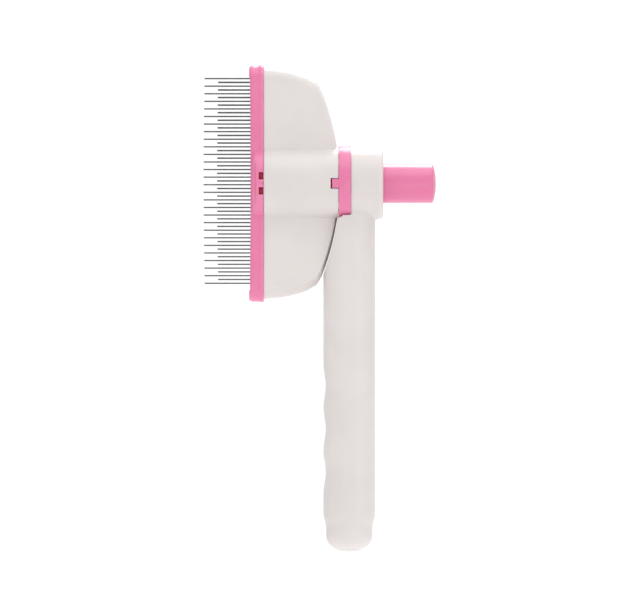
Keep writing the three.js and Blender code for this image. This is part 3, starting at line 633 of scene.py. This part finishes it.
# Ejector plate: a shallow tray with a pinned face, a rounded front, end pads, and a bulge around the barrel.
plateBox = reach("ejector_plate")
plate = {
    "front": plateBox["front"], "back": plateBox["back"], "halfLength": plateBox["top"], "halfWidth": 8.0,
    "corner": 5.5, "skirt": 1.6, "faceBack": -3.2, "face": -5.15, "dish": 0.2,
    "padEdge": 39.8, "padSlope": 0.15, "edge": 1.25, "lip": 1.5, "lipStep": 0.12,
    "hole": 0.5, "holeRim": 0.62, "holeSides": 14, "holeLead": 0.2,
    "bulge": plateBox["right"], "bulgeFront": -4.5, "bulgeInside": -3.2, "bulgeEdge": 1.1,
    "grooveFront": -3.6, "grooveBack": -3.25, "grooveDepth": 0.3, "grooveHalf": 7.3,
    "windowFront": -2.05, "windowBack": -0.5, "windowIn": 1.45, "windowOut": 4.1,
    "windowReach": 2.4,
    "notchHalf": 0.35, "notchFront": -0.8, "notchDepth": 0.4,
}
pin = {"radius": 0.25, "sides": 14, "bow": 0.4, "strip": 0.7, "stripHalf": 0.6, "longRows": (2, 3),
       "longCount": 28, "shortCount": 27}
rows = []
for number in (1, 2, 3, 4):
    strip = reach(f"pin_row_{number}")
    count = pin["longCount"] if number in pin["longRows"] else pin["shortCount"]
    top, bottom = strip["top"] - pin["stripHalf"], strip["bottom"] + pin["stripHalf"]
    rows.append({
        "node": f"pin_row_{number}", "y": (strip["left"] + strip["right"]) / 2, "tip": -strip["front"],
        "root": strip["back"], "heights": [top + (bottom - top) * i / (count - 1) for i in range(count)],
    })


# One quarter of the tray's outline, from the top round to the side: (y, z, inward y, inward z).
def plateQuarter(s):
    cy, cz = s["halfWidth"] - s["corner"], s["halfLength"] - s["corner"]
    points = [(cy * i / 4, s["halfLength"], 0, -1) for i in range(4)]
    faceCorner = s["corner"] - s["edge"]
    turns = [math.radians(90 - 7.5 * i) for i in range(12)]
    turns += [math.asin((s["padEdge"] + side * s["padSlope"] - cz) / faceCorner) for side in (1, -1)]
    for turn in sorted(turns, reverse=True):
        dy, dz = math.cos(turn), math.sin(turn)
        points.append((cy + s["corner"] * dy, cz + s["corner"] * dz, -dy, -dz))
    points += [(s["halfWidth"], cz * (1 - i / 36), -1, 0) for i in range(1, 37)]
    return points


def mirrored(quarter):
    half = quarter + [(y, -z, ny, -nz) for y, z, ny, nz in reversed(quarter[:-1])]
    return half + [(-y, z, -ny, nz) for y, z, ny, nz in reversed(half[1:-1])]


def frontShift(z, s):  # the pinned face is dished, and the end pads stand in front of it
    along = min(abs(z) / s["padEdge"], 1)
    pad = smoothStep(s["padEdge"] - s["padSlope"], s["padEdge"] + s["padSlope"], abs(z))
    dished = -s["dish"] * along ** 2
    return dished * (1 - pad) + (s["front"] - s["face"]) * pad


def trayLoop(outline, u, inset, s):
    onFace = 1 - smoothStep(s["face"], s["face"] + 1.8, u)
    return [(u + frontShift(z, s) * onFace, y + ny * inset, z + nz * inset) for y, z, ny, nz in outline]


# A flat face with round holes: returns points (y, z) and triangles.
def holedFace(outline, holes, sides, radius):
    coords = [Vector(p) for p in outline]
    edges = [(i, (i + 1) % len(coords)) for i in range(len(coords))]
    for y, z in holes:
        base = len(coords)
        for i in range(sides):
            turn = 2 * math.pi * i / sides
            coords.append(Vector((y + radius * math.sin(turn), z + radius * math.cos(turn))))
            edges.append((base + i, base + (i + 1) % sides))
    made = delaunay_2d_cdt(coords, edges, [list(range(len(outline)))], 1, 1e-7)
    points, triangles = made[0], made[2]
    kept = []
    for triangle in triangles:
        middle = sum((points[i] for i in triangle), Vector((0, 0))) / 3
        if all((middle - Vector(hole)).length > radius * 0.9 for hole in holes):
            kept.append(tuple(triangle))
    return [tuple(p) for p in points], kept


def appendPart(target, points, faces):
    base = len(target["points"])
    target["points"] += points
    target["faces"] += [tuple(base + i for i in face) for face in faces]


def loopQuads(loops, count):
    quads = []
    for level in range(len(loops) - 1):
        here, there = level * count, (level + 1) * count
        for i in range(count):
            j = (i + 1) % count
            quads.append((here + i, here + j, there + j, there + i))
    return quads


# Faces that fill a tray loop at one depth, split at the end pads so that each step stays straight.
def fillLoop(target, loop, holes, s, radius, shifted):
    limits = [s["padEdge"] - s["padSlope"], s["padEdge"] + s["padSlope"]]
    flat = [(y, z) for _, y, z in loop]
    middle = [p for p in flat if abs(p[1]) <= limits[0] + 1e-6]
    parts = [(middle, holes)]
    for sign in (1, -1):
        parts.append(([p for p in flat if sign * p[1] >= limits[1] - 1e-6], []))
        parts.append(([p for p in flat if limits[0] - 1e-6 <= sign * p[1] <= limits[1] + 1e-6], []))
    for outline, inHoles in parts:
        centre = Vector((sum(p[0] for p in outline), sum(p[1] for p in outline))) / len(outline)
        ordered = outline
        if not inHoles:
            ordered = sorted(outline, key=lambda p: math.atan2(p[1] - centre.y, p[0] - centre.x))
        points, triangles = holedFace(ordered, inHoles, s["holeSides"], radius)
        level = s["face"] if shifted else s["faceBack"]
        placed = [(level + (frontShift(z, s) if shifted else 0), y, z) for y, z in points]
        appendPart(target, placed, triangles)


def makeTray(s, pinRows):  # skirt, rounded front and the face with a hole for every pin
    outline = mirrored(plateQuarter(s))
    count = len(outline)
    back, lip, edge = s["back"], s["lip"], s["edge"]
    profile = [(back, 0.15), (back - 0.05, 0.04), (back - 0.15, 0), (back - lip + 0.1, 0),
               (back - lip - 0.1, s["lipStep"]), (-2.7, s["lipStep"])]
    start = s["face"] + edge
    for step in range(9):
        turn = math.pi / 2 * step / 8
        inset = s["lipStep"] + (edge - s["lipStep"]) * (1 - math.cos(turn))
        profile.append((start - edge * math.sin(turn), inset))
    outer = [trayLoop(outline, u, inset, s) for u, inset in profile]
    inner = [trayLoop(outline, s["faceBack"], s["skirt"], s), trayLoop(outline, back, s["skirt"], s)]
    mesh = {"points": [], "faces": []}
    loops = inner + outer
    appendPart(mesh, [p for loop in loops for p in loop], loopQuads(loops, count))
    holes = [(row["y"], z) for row in pinRows for z in row["heights"]]
    fillLoop(mesh, outer[-1], holes, s, s["holeRim"], True)
    fillLoop(mesh, inner[0], holes, s, s["hole"], False)
    for y, z in holes:
        appendHole(mesh, y, z, s)
    obj = makeObject("ejectorPlate", mesh["points"], mesh["faces"])
    bm = bmesh.new()
    bm.from_mesh(obj.data)
    bmesh.ops.remove_doubles(bm, verts=bm.verts, dist=2e-6)
    bm.to_mesh(obj.data)
    bm.free()
    return obj


def appendHole(mesh, y, z, s):  # the wall of one pin hole, with a rim that follows the dished face
    lead = s["face"] + frontShift(z, s) + s["holeLead"]
    rim = [(s["face"] + frontShift(pz, s), py, pz)
           for _, py, pz in circleLoop(0, s["holeRim"], s["holeSides"], y, z)]
    walls = [rim, circleLoop(lead, s["hole"], s["holeSides"], y, z),
             circleLoop(s["faceBack"], s["hole"], s["holeSides"], y, z)]
    appendPart(mesh, [p for loop in walls for p in loop], loopQuads(walls, s["holeSides"]))


def addBulge(obj, s):  # the round middle that stands over the barrel
    far = s["bulge"] + 1
    inside = s["bulge"] - s["skirt"]
    back = s["back"]
    bulge = turned("bulge", [
        (s["bulgeFront"], 0.3), (s["bulgeFront"], s["bulge"], s["bulgeEdge"]), (back, s["bulge"], 0.1),
        (back, inside), (s["bulgeInside"], inside), (s["bulgeInside"], 0.3),
    ], closed=False)
    middle = s["halfWidth"] - s["skirt"] / 2
    carve(bulge, block("middle", (s["bulgeFront"] - 1, back + 1), (-middle, middle), (-far, far)))
    carve(obj, turned("room", [(s["bulgeInside"], 0.3), (s["bulgeInside"], inside), (back + 1, inside),
                               (back + 1, 0.3)], closed=False))
    return carve(obj, bulge, operation="UNION")


def bulgeTools(s):  # what is cut out of the bulge: its groove, the fork's windows and the notches
    far = s["bulge"] + 1
    floor = s["bulge"] - s["grooveDepth"]
    groove = turned("groove", [(s["grooveFront"], floor), (s["grooveFront"], far), (s["grooveBack"], far),
                               (s["grooveBack"], floor)])
    stretch = block("stretch", (s["bulgeFront"], 0), (-2 * far, 2 * far), (-s["grooveHalf"], s["grooveHalf"]))
    carve(groove, stretch, operation="INTERSECT")
    tools = [groove]
    for side in (1, -1):
        through = sorted((side * (s["bulge"] - s["windowReach"]), side * far))
        for z in ((s["windowIn"], s["windowOut"]), (-s["windowOut"], -s["windowIn"])):
            tools.append(block("window", (s["windowFront"], s["windowBack"]), through, z))
        shallow = sorted((side * (s["bulge"] - s["notchDepth"]), side * far))
        tools.append(block("notch", (s["notchFront"], s["back"] + 1), shallow,
                           (-s["notchHalf"], s["notchHalf"])))
    return tools


def makeEjectorPlate(s, pinRows):
    obj = makeTray(s, pinRows)
    addBulge(obj, s)
    return carve(obj, *bulgeTools(s))


place(makeEjectorPlate(plate, rows), "pink_plastic", "ejector", "ejector_plate", sharpFrom=32)

# Steel pins with rounded tips, standing on the strip that each row is welded to.
def makePinRow(row, s):
    mesh = {"points": [], "faces": []}
    heights = row["heights"]
    middle = (heights[0] + heights[-1]) / 2
    for z in heights:
        share = (z - middle) / (heights[0] - middle)
        tip = -row["tip"] + s["bow"] * share ** 2
        loops = [circleLoop(row["root"] - s["strip"] / 2, s["radius"], s["sides"], row["y"], z)]
        for step in range(5):
            turn = math.pi / 2 * step / 5
            u = tip + s["radius"] * (1 - math.sin(turn))
            loops.append(circleLoop(u, s["radius"] * math.cos(turn), s["sides"], row["y"], z))
        points = [p for loop in loops for p in loop] + [(tip, row["y"], z)]
        faces = loopQuads(loops, s["sides"])
        last = (len(loops) - 1) * s["sides"]
        faces += [(last + i, last + (i + 1) % s["sides"], len(points) - 1) for i in range(s["sides"])]
        faces.append(tuple(range(s["sides"])))
        appendPart(mesh, points, faces)
    obj = makeObject(row["node"].replace("_", "") + "Pins", mesh["points"], mesh["faces"])
    strip = block("strip", (row["root"] - s["strip"], row["root"]),
                  (row["y"] - s["stripHalf"], row["y"] + s["stripHalf"]),
                  (heights[-1] - s["stripHalf"], heights[0] + s["stripHalf"]))
    bm = bmesh.new()
    bm.from_mesh(obj.data)
    bm.from_mesh(strip.data)
    bm.to_mesh(obj.data)
    bm.free()
    bpy.data.objects.remove(strip)
    return obj


for row in rows:
    place(makePinRow(row, pin), "pin_steel", "head", row["node"], sharpFrom=50)

# Handle and collar: a squared oval grip with a domed end, cut back where the head sweeps past, with the
# collar run into it.
gripBox = reach("handle_left")
plugBox = reach("end_plug")
grip = {
    "end": plugBox["bottom"], "front": gripBox["front"], "depth": 19.1, "halfWidth": 8.9, "square": 2.8,
    "fingerDepth": 0.85, "fingerPitch": 15.9, "fingerTop": 66.85, "fingers": 3,
    "taper": 1.0, "taperHigh": 14, "taperLow": 9, "dome": 6.0, "flatShare": 0.15,
    "collarFront": 32.1, "collarBack": gripBox["back"], "collarRadius": gripBox["top"], "collarEdge": 1.4,
    "sweep": 0.45, "saddle": 14.35, "shoulder": ((0.2, 0.95), (1.2, 0.5), (2.4, 0.2), (4.0, 0.05)),
    "seam": 0.05, "voxel": 0.4, "softening": 4,
    "buttonBore": 7.5, "neckBore": 9.9, "flangeBore": 11.7, "flangeFront": 34.15, "flangeBack": 38.1,
    "plugHalfDepth": 5.12, "plugHalfWidth": 4.72, "plugDepth": 3.2,
    "screwSeat": 2.6, "screwSeatY": 6.25, "screwBore": 1.4,
}
grip["centre"] = grip["front"] + grip["depth"] / 2


def gripLoop(z, front, back, halfWidth, s, sides=120):
    middle, halfDepth = (front + back) / 2, (back - front) / 2
    loop = []
    for i in range(sides):
        turn = 2 * math.pi * i / sides
        c, t = math.cos(turn), math.sin(turn)
        loop.append((middle + halfDepth * math.copysign(abs(c) ** (2 / s["square"]), c),
                     halfWidth * math.copysign(abs(t) ** (2 / s["square"]), t), z))
    return loop


def endInset(height, s):
    return s["taper"] * (1 - smoothStep(s["taperLow"], s["taperHigh"], height))


def endShare(height, s):  # share of the section that the domed end leaves
    below = max(s["dome"] - height, 0) / s["dome"]
    return s["flatShare"] + (1 - s["flatShare"]) * math.sqrt(1 - below ** 2)


def fingerInset(below, s):
    along = (below - s["fingerTop"]) / s["fingerPitch"]
    if not 0 < along < s["fingers"]:
        return 0
    return s["fingerDepth"] * (1 - math.cos(2 * math.pi * along)) / 2


def makeGripBody(s):
    length = -s["end"]
    heights = [s["dome"] * (1 - math.cos(math.pi / 2 * i / 16)) for i in range(17)]
    heights += [s["dome"] + 1.0 * i for i in range(1, int(length - s["dome"]))] + [length]
    loops = []
    for height in heights:
        halfDepth = (s["depth"] / 2 - endInset(height, s)) * endShare(height, s)
        halfWidth = (s["halfWidth"] - endInset(height, s)) * endShare(height, s)
        front = s["centre"] - halfDepth + fingerInset(length - height, s)
        loops.append(gripLoop(height - length, front, s["centre"] + halfDepth, halfWidth, s))
    return skin("handle", loops)


def headSweep(s):  # profile of the room that the turning head needs
    sweep = [(-1, 0.2)]
    z = 39.0
    while z > s["saddle"] + 2:
        normal = Vector((backArc(z, shell) - backArc(0, shell) + shell["backRadius"], z)).normalized()
        sweep.append((backArc(z, shell) + normal.x * s["sweep"], z + normal.y * s["sweep"]))
        z -= 1.2
    sweep.insert(1, (-1, sweep[1][1]))
    sweep += [(sweep[-1][0] + lead, s["saddle"] + rise) for lead, rise in s["shoulder"]]
    sweep += [(s["collarFront"], s["saddle"]), (s["collarFront"], 0.2)]
    return sweep


def makeWholeHandle(s):
    handle = makeGripBody(s)
    collar = turned("collar", [
        (s["collarFront"] - 0.6, 0.2), (s["collarFront"] - 0.6, s["collarRadius"]),
        (s["collarBack"], s["collarRadius"], s["collarEdge"]), (s["collarBack"], 0.2),
    ], closed=False)
    carve(handle, turned("sweep", headSweep(s), closed=False))
    carve(handle, collar, operation="UNION")
    fuse(handle, s["voxel"], s["softening"])
    bores = turned("bores", [
        (s["collarFront"] - 2, 0.2), (s["collarFront"] - 2, s["saddle"] - 0.1),
        (s["collarFront"] - 0.1, s["saddle"] - 0.1), (s["collarFront"] - 0.1, s["neckBore"]),
        (s["flangeFront"], s["neckBore"]),
        (s["flangeFront"], s["flangeBore"]), (s["flangeBack"], s["flangeBore"]),
        (s["flangeBack"], s["buttonBore"]), (s["collarBack"] - 0.35, s["buttonBore"]),
        (s["collarBack"] + 0.5, s["buttonBore"] + 0.85), (s["collarBack"] + 0.5, 0.2),
    ], closed=False)
    seat = [gripLoop(s["end"] + h, s["centre"] - s["plugHalfDepth"], s["centre"] + s["plugHalfDepth"],
                     s["plugHalfWidth"], s) for h in (-1, s["plugDepth"])]
    tools = [bores, skin("seat", seat)]
    for number in (1, 2, 3):
        screw = reach(f"handle_screw_{number}")
        z = (screw["top"] + screw["bottom"]) / 2
        tools.append(crossPin("screwSeat", 0, s["centre"], z, [
            (-5.6, 0.1), (-5.6, s["screwBore"]), (s["screwSeatY"], s["screwBore"]),
            (s["screwSeatY"], s["screwSeat"]), (s["halfWidth"] + 1, s["screwSeat"]),
            (s["halfWidth"] + 1, 0.1),
        ]))
    return carve(handle, *tools)


def halfOf(whole, name, side, gap):
    half = whole.copy()
    half.data = whole.data.copy()
    half.name = name
    scene.collection.objects.link(half)
    bm = bmesh.new()
    bm.from_mesh(half.data)
    edges = bm.edges[:] + bm.verts[:] + bm.faces[:]
    cut = bmesh.ops.bisect_plane(bm, geom=edges, plane_co=(0, side * gap / 2 * mm, 0),
                                 plane_no=(0, -side, 0), clear_outer=True)
    rim = [e for e in cut["geom_cut"] if isinstance(e, bmesh.types.BMEdge)]
    bmesh.ops.triangle_fill(bm, edges=rim, use_beauty=True)
    bm.to_mesh(half.data)
    bm.free()
    return half


wholeHandle = makeWholeHandle(grip)
for name, node, side in (("handleLeft", "handle_left", -1), ("handleRight", "handle_right", 1)):
    place(halfOf(wholeHandle, name, side, grip["seam"]), "ivory_plastic", "handle", node, sharpFrom=45)
bpy.data.objects.remove(wholeHandle)

# Oval plug in the end of the handle: it carries the dome of the end across its seat.
plug = {"end": plugBox["bottom"], "halfDepth": 4.95, "halfWidth": 4.55, "height": 2.95, "edge": 0.25,
        "stem": 2.0, "sides": 72, "steps": 12}


def makeEndPlug(s):
    full = grip["depth"] / 2 - grip["taper"]
    rimShare = s["halfDepth"] / full
    below = math.sqrt(1 - ((rimShare - grip["flatShare"]) / (1 - grip["flatShare"])) ** 2)
    rim = grip["dome"] * (1 - below)
    loops = []
    for step in range(s["steps"] + 1):
        outward = step / s["steps"]
        height = rim * outward ** 2
        share = endShare(height, grip) / rimShare
        inset = s["edge"] * (1 - math.sqrt(1 - outward ** 8))
        loops.append((height, share * s["halfDepth"] - inset, share * s["halfWidth"] - inset))
    loops.append((rim + s["edge"], s["halfDepth"], s["halfWidth"]))
    loops.append((s["height"], s["halfDepth"], s["halfWidth"]))
    loops = [gripLoop(s["end"] + height, grip["centre"] - halfDepth, grip["centre"] + halfDepth, halfWidth,
                      grip, s["sides"]) for height, halfDepth, halfWidth in loops]
    for height in (s["height"], plugBox["top"] - s["end"]):
        turns = [2 * math.pi * i / s["sides"] for i in range(s["sides"])]
        loops.append([(grip["centre"] + s["stem"] * math.cos(turn), s["stem"] * math.sin(turn),
                       s["end"] + height) for turn in turns])
    return skin("endPlug", loops)


place(makeEndPlug(plug), "ivory_plastic", "handle", "end_plug", sharpFrom=35)

# Cross-recessed screws in the far side of the handle.
screwShape = {"head": 2.25, "shank": 1.05, "dome": 0.5, "recess": 0.75, "slot": 0.24, "slotReach": 1.25}


def makeHandleScrew(number, s):
    boxed = reach(f"handle_screw_{number}")
    z = (boxed["top"] + boxed["bottom"]) / 2
    top, tip = boxed["right"], boxed["left"]
    obj = crossPin(f"handleScrew{number}", 0, grip["centre"], z, [
        (tip, 0.15), (tip + 0.8, s["shank"], 0.2), (top - 1.6, s["shank"]), (top - 1.6, s["head"], 0.1),
        (top - s["dome"], s["head"], 0.25), (top, 1.1, 0.6), (top, 0.15),
    ])
    tools = []
    for long, wide in ((s["slotReach"], s["slot"]), (s["slot"], s["slotReach"])):
        tools.append(block("recess", (grip["centre"] - long, grip["centre"] + long),
                           (top - s["recess"], top + 1), (z - wide, z + wide)))
    return carve(obj, *tools)


for number in (1, 2, 3):
    place(makeHandleScrew(number, screwShape), "screw_steel", "handle", f"handle_screw_{number}",
          sharpFrom=40)

# Fork between button and plate: a yoke, two curved prongs and a tube, in smooth round sections.
forkBox = reach("plunger_fork")
fork = {"tip": forkBox["front"], "yokeFront": 22.9, "yokeBack": 25.1, "inside": 10.2, "outside": 11.8,
        "half": 4.0, "tubeBore": 5.0, "tube": 5.65, "tubeBack": forkBox["back"], "barb": forkBox["right"],
        "barbFront": -1.8, "barbBack": -0.75, "barbIn": 1.75, "barbOut": 3.85, "barbRoot": 11.0}


def makeFork(s):
    wide = s["outside"] + 1
    prongs = turned("plungerFork", [(s["tip"], s["inside"], 0.3), (s["tip"], s["outside"], 0.3),
                                    (s["yokeBack"], s["outside"]), (s["yokeBack"], s["tubeBore"]),
                                    (s["yokeFront"], s["tubeBore"]), (s["yokeFront"], s["inside"], 0.6)])
    carve(prongs, block("reach", (s["tip"] - 1, s["yokeBack"] + 1), (-wide, wide), (-s["half"], s["half"])),
          operation="INTERSECT")
    tube = turned("tube", [(s["yokeFront"] + 0.3, s["tubeBore"]), (s["yokeFront"] + 0.3, s["tube"]),
                           (s["tubeBack"], s["tube"], 0.2), (s["tubeBack"], s["tubeBore"], 0.2)])
    carve(prongs, tube, operation="UNION")
    barbs = []
    for side in (1, -1):
        for end in (1, -1):
            y = sorted((side * s["barbRoot"], side * s["barb"]))
            z = sorted((end * s["barbIn"], end * s["barbOut"]))
            barbs.append(block("barb", (s["barbFront"], s["barbBack"]), y, z))
    return carve(prongs, *barbs, operation="UNION")


# The fork's dark red paints the shade seen inside the plate's windows.
place(makeFork(fork), "red_plastic", "ejector", "plunger_fork", sharpFrom=35)

# Return spring: round wire in an even coil, with its last turns closed up.
springBox = reach("return_spring")
spring = {"radius": 3.9, "wire": 0.4, "turns": 11, "closed": 1.2, "closedPitch": 0.25, "wireSides": 10,
          "stepsPerTurn": 40}


def makeSpring(s):
    front, back = springBox["front"] + s["wire"], springBox["back"] - s["wire"]
    steps = s["turns"] * s["stepsPerTurn"]
    rise = [0.0]
    for step in range(steps):  # the pitch drops to the wire's thickness in the closed turns
        turn = (step + 0.5) / s["stepsPerTurn"]
        opened = smoothStep(0, s["closed"], turn) * smoothStep(0, s["closed"], s["turns"] - turn)
        rise.append(rise[-1] + s["closedPitch"] + opened)
    loops = []
    for step in range(steps + 1):
        angle = 2 * math.pi * step / s["stepsPerTurn"]
        u = front + (back - front) * rise[step] / rise[-1]
        loops.append([
            (u + s["wire"] * math.sin(2 * math.pi * i / s["wireSides"]),
             (s["radius"] + s["wire"] * math.cos(2 * math.pi * i / s["wireSides"])) * math.cos(angle),
             (s["radius"] + s["wire"] * math.cos(2 * math.pi * i / s["wireSides"])) * math.sin(angle))
            for i in range(s["wireSides"])
        ])
    return skin("returnSpring", loops)


springPiece = place(makeSpring(spring), "spring_steel", "head", "return_spring", sharpFrom=60)
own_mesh(springPiece)

# Frame pieces whose shape is already right only get their finish.
slots = {part["node"]: part["material_slot"] for part in frame["record"]["subparts"]}
for name, obj in frame["nodes"].items():
    if not obj.hide_render:
        obj.data.materials.clear()
        obj.data.materials.append(slotMaterials[slots[name]])
print("frame pieces finished")

# Studio: pale floor, white surroundings, soft lights.
studio = {
    "floorDrop": 0.16, "floorRadius": 1.0, "seenStrength": 1.05, "worldStrength": 0.83,
    "lights": [
        {"name": "topSoftbox", "place": (0.08, -0.2, 0.9), "aim": (0, 0, 0.1), "size": 0.7, "power": 1.9},
        {"name": "cameraFill", "place": (0.3, -0.85, -0.08), "aim": (0, 0, 0.04), "size": 0.6, "power": 1.1},
        {"name": "backFill", "place": (0.15, 0.65, 0.85), "aim": (0, 0, 0.13), "size": 0.6, "power": 6.0},
    ],
}


def makeFloor(s):
    sides = 96
    low = cadBox[0].z - s["floorDrop"]
    bm = bmesh.new()
    middle = bm.verts.new((0, 0, low))
    turns = [2 * math.pi * i / sides for i in range(sides)]
    rims = [[bm.verts.new((radius * math.cos(turn), radius * math.sin(turn), low)) for turn in turns]
            for radius in (0.2, 0.5, s["floorRadius"])]
    for i in range(sides):
        j = (i + 1) % sides
        bm.faces.new((middle, rims[0][i], rims[0][j]))
        for near, far in zip(rims, rims[1:]):
            bm.faces.new((near[i], far[i], far[j], near[j]))
    mesh = bpy.data.meshes.new("floor")
    bm.to_mesh(mesh)
    bm.free()
    floor = bpy.data.objects.new("floor", mesh)
    scene.collection.objects.link(floor)
    material, w, shader, spot = newMaterial("paleFloor")
    cloud = w.add("ShaderNodeTexNoise", Vector=spot, Scale=1.2, Detail=2.0)
    tone = w.mix(cloud.outputs["Fac"], (0.955, 0.955, 0.96, 1), (0.97, 0.97, 0.97, 1))
    w.feed(shader.inputs["Base Color"], tone)
    shader.inputs["Roughness"].default_value = 0.75
    mesh.materials.append(material)


def makeWorld(s):
    world = bpy.data.worlds.new("studio")
    world.use_nodes = True
    w = Wiring(world.node_tree.nodes, world.node_tree.links)
    background = world.node_tree.nodes["Background"]
    seen = w.add("ShaderNodeLightPath").outputs["Is Camera Ray"]
    extra = w.math("MULTIPLY", seen, s["seenStrength"] - s["worldStrength"])
    w.feed(background.inputs["Strength"], w.math("ADD", extra, s["worldStrength"]))
    background.inputs["Color"].default_value = (1, 1, 1, 1)
    scene.world = world


def makeLight(light):
    data = bpy.data.lights.new(light["name"], "AREA")
    data.shape = "DISK"
    data.size = light["size"]
    data.energy = light["power"]
    obj = bpy.data.objects.new(light["name"], data)
    scene.collection.objects.link(obj)
    obj.location = light["place"]
    aim = Vector(light["aim"]) - obj.location
    obj.rotation_euler = aim.to_track_quat("-Z", "Y").to_euler()


makeFloor(studio)
makeWorld(studio)
for light in studio["lights"]:
    makeLight(light)

# Camera: square on to the side of the brush, from far enough away to look almost flat.
view = {"lens": 600, "sensor": 36, "seenWidth": 0.2345, "centre": (-0.01185, 0.0906)}
cameraData = bpy.data.cameras.new("camera")
cameraData.lens = view["lens"]
cameraData.sensor_width = view["sensor"]
camera = bpy.data.objects.new("camera", cameraData)
scene.collection.objects.link(camera)
distance = view["seenWidth"] * view["lens"] / view["sensor"]
camera.location = (view["centre"][0], -distance, view["centre"][1])
camera.rotation_euler = (math.pi / 2, 0, 0)
scene.camera = camera
scene.view_settings.view_transform = "Standard"
print("studio set")
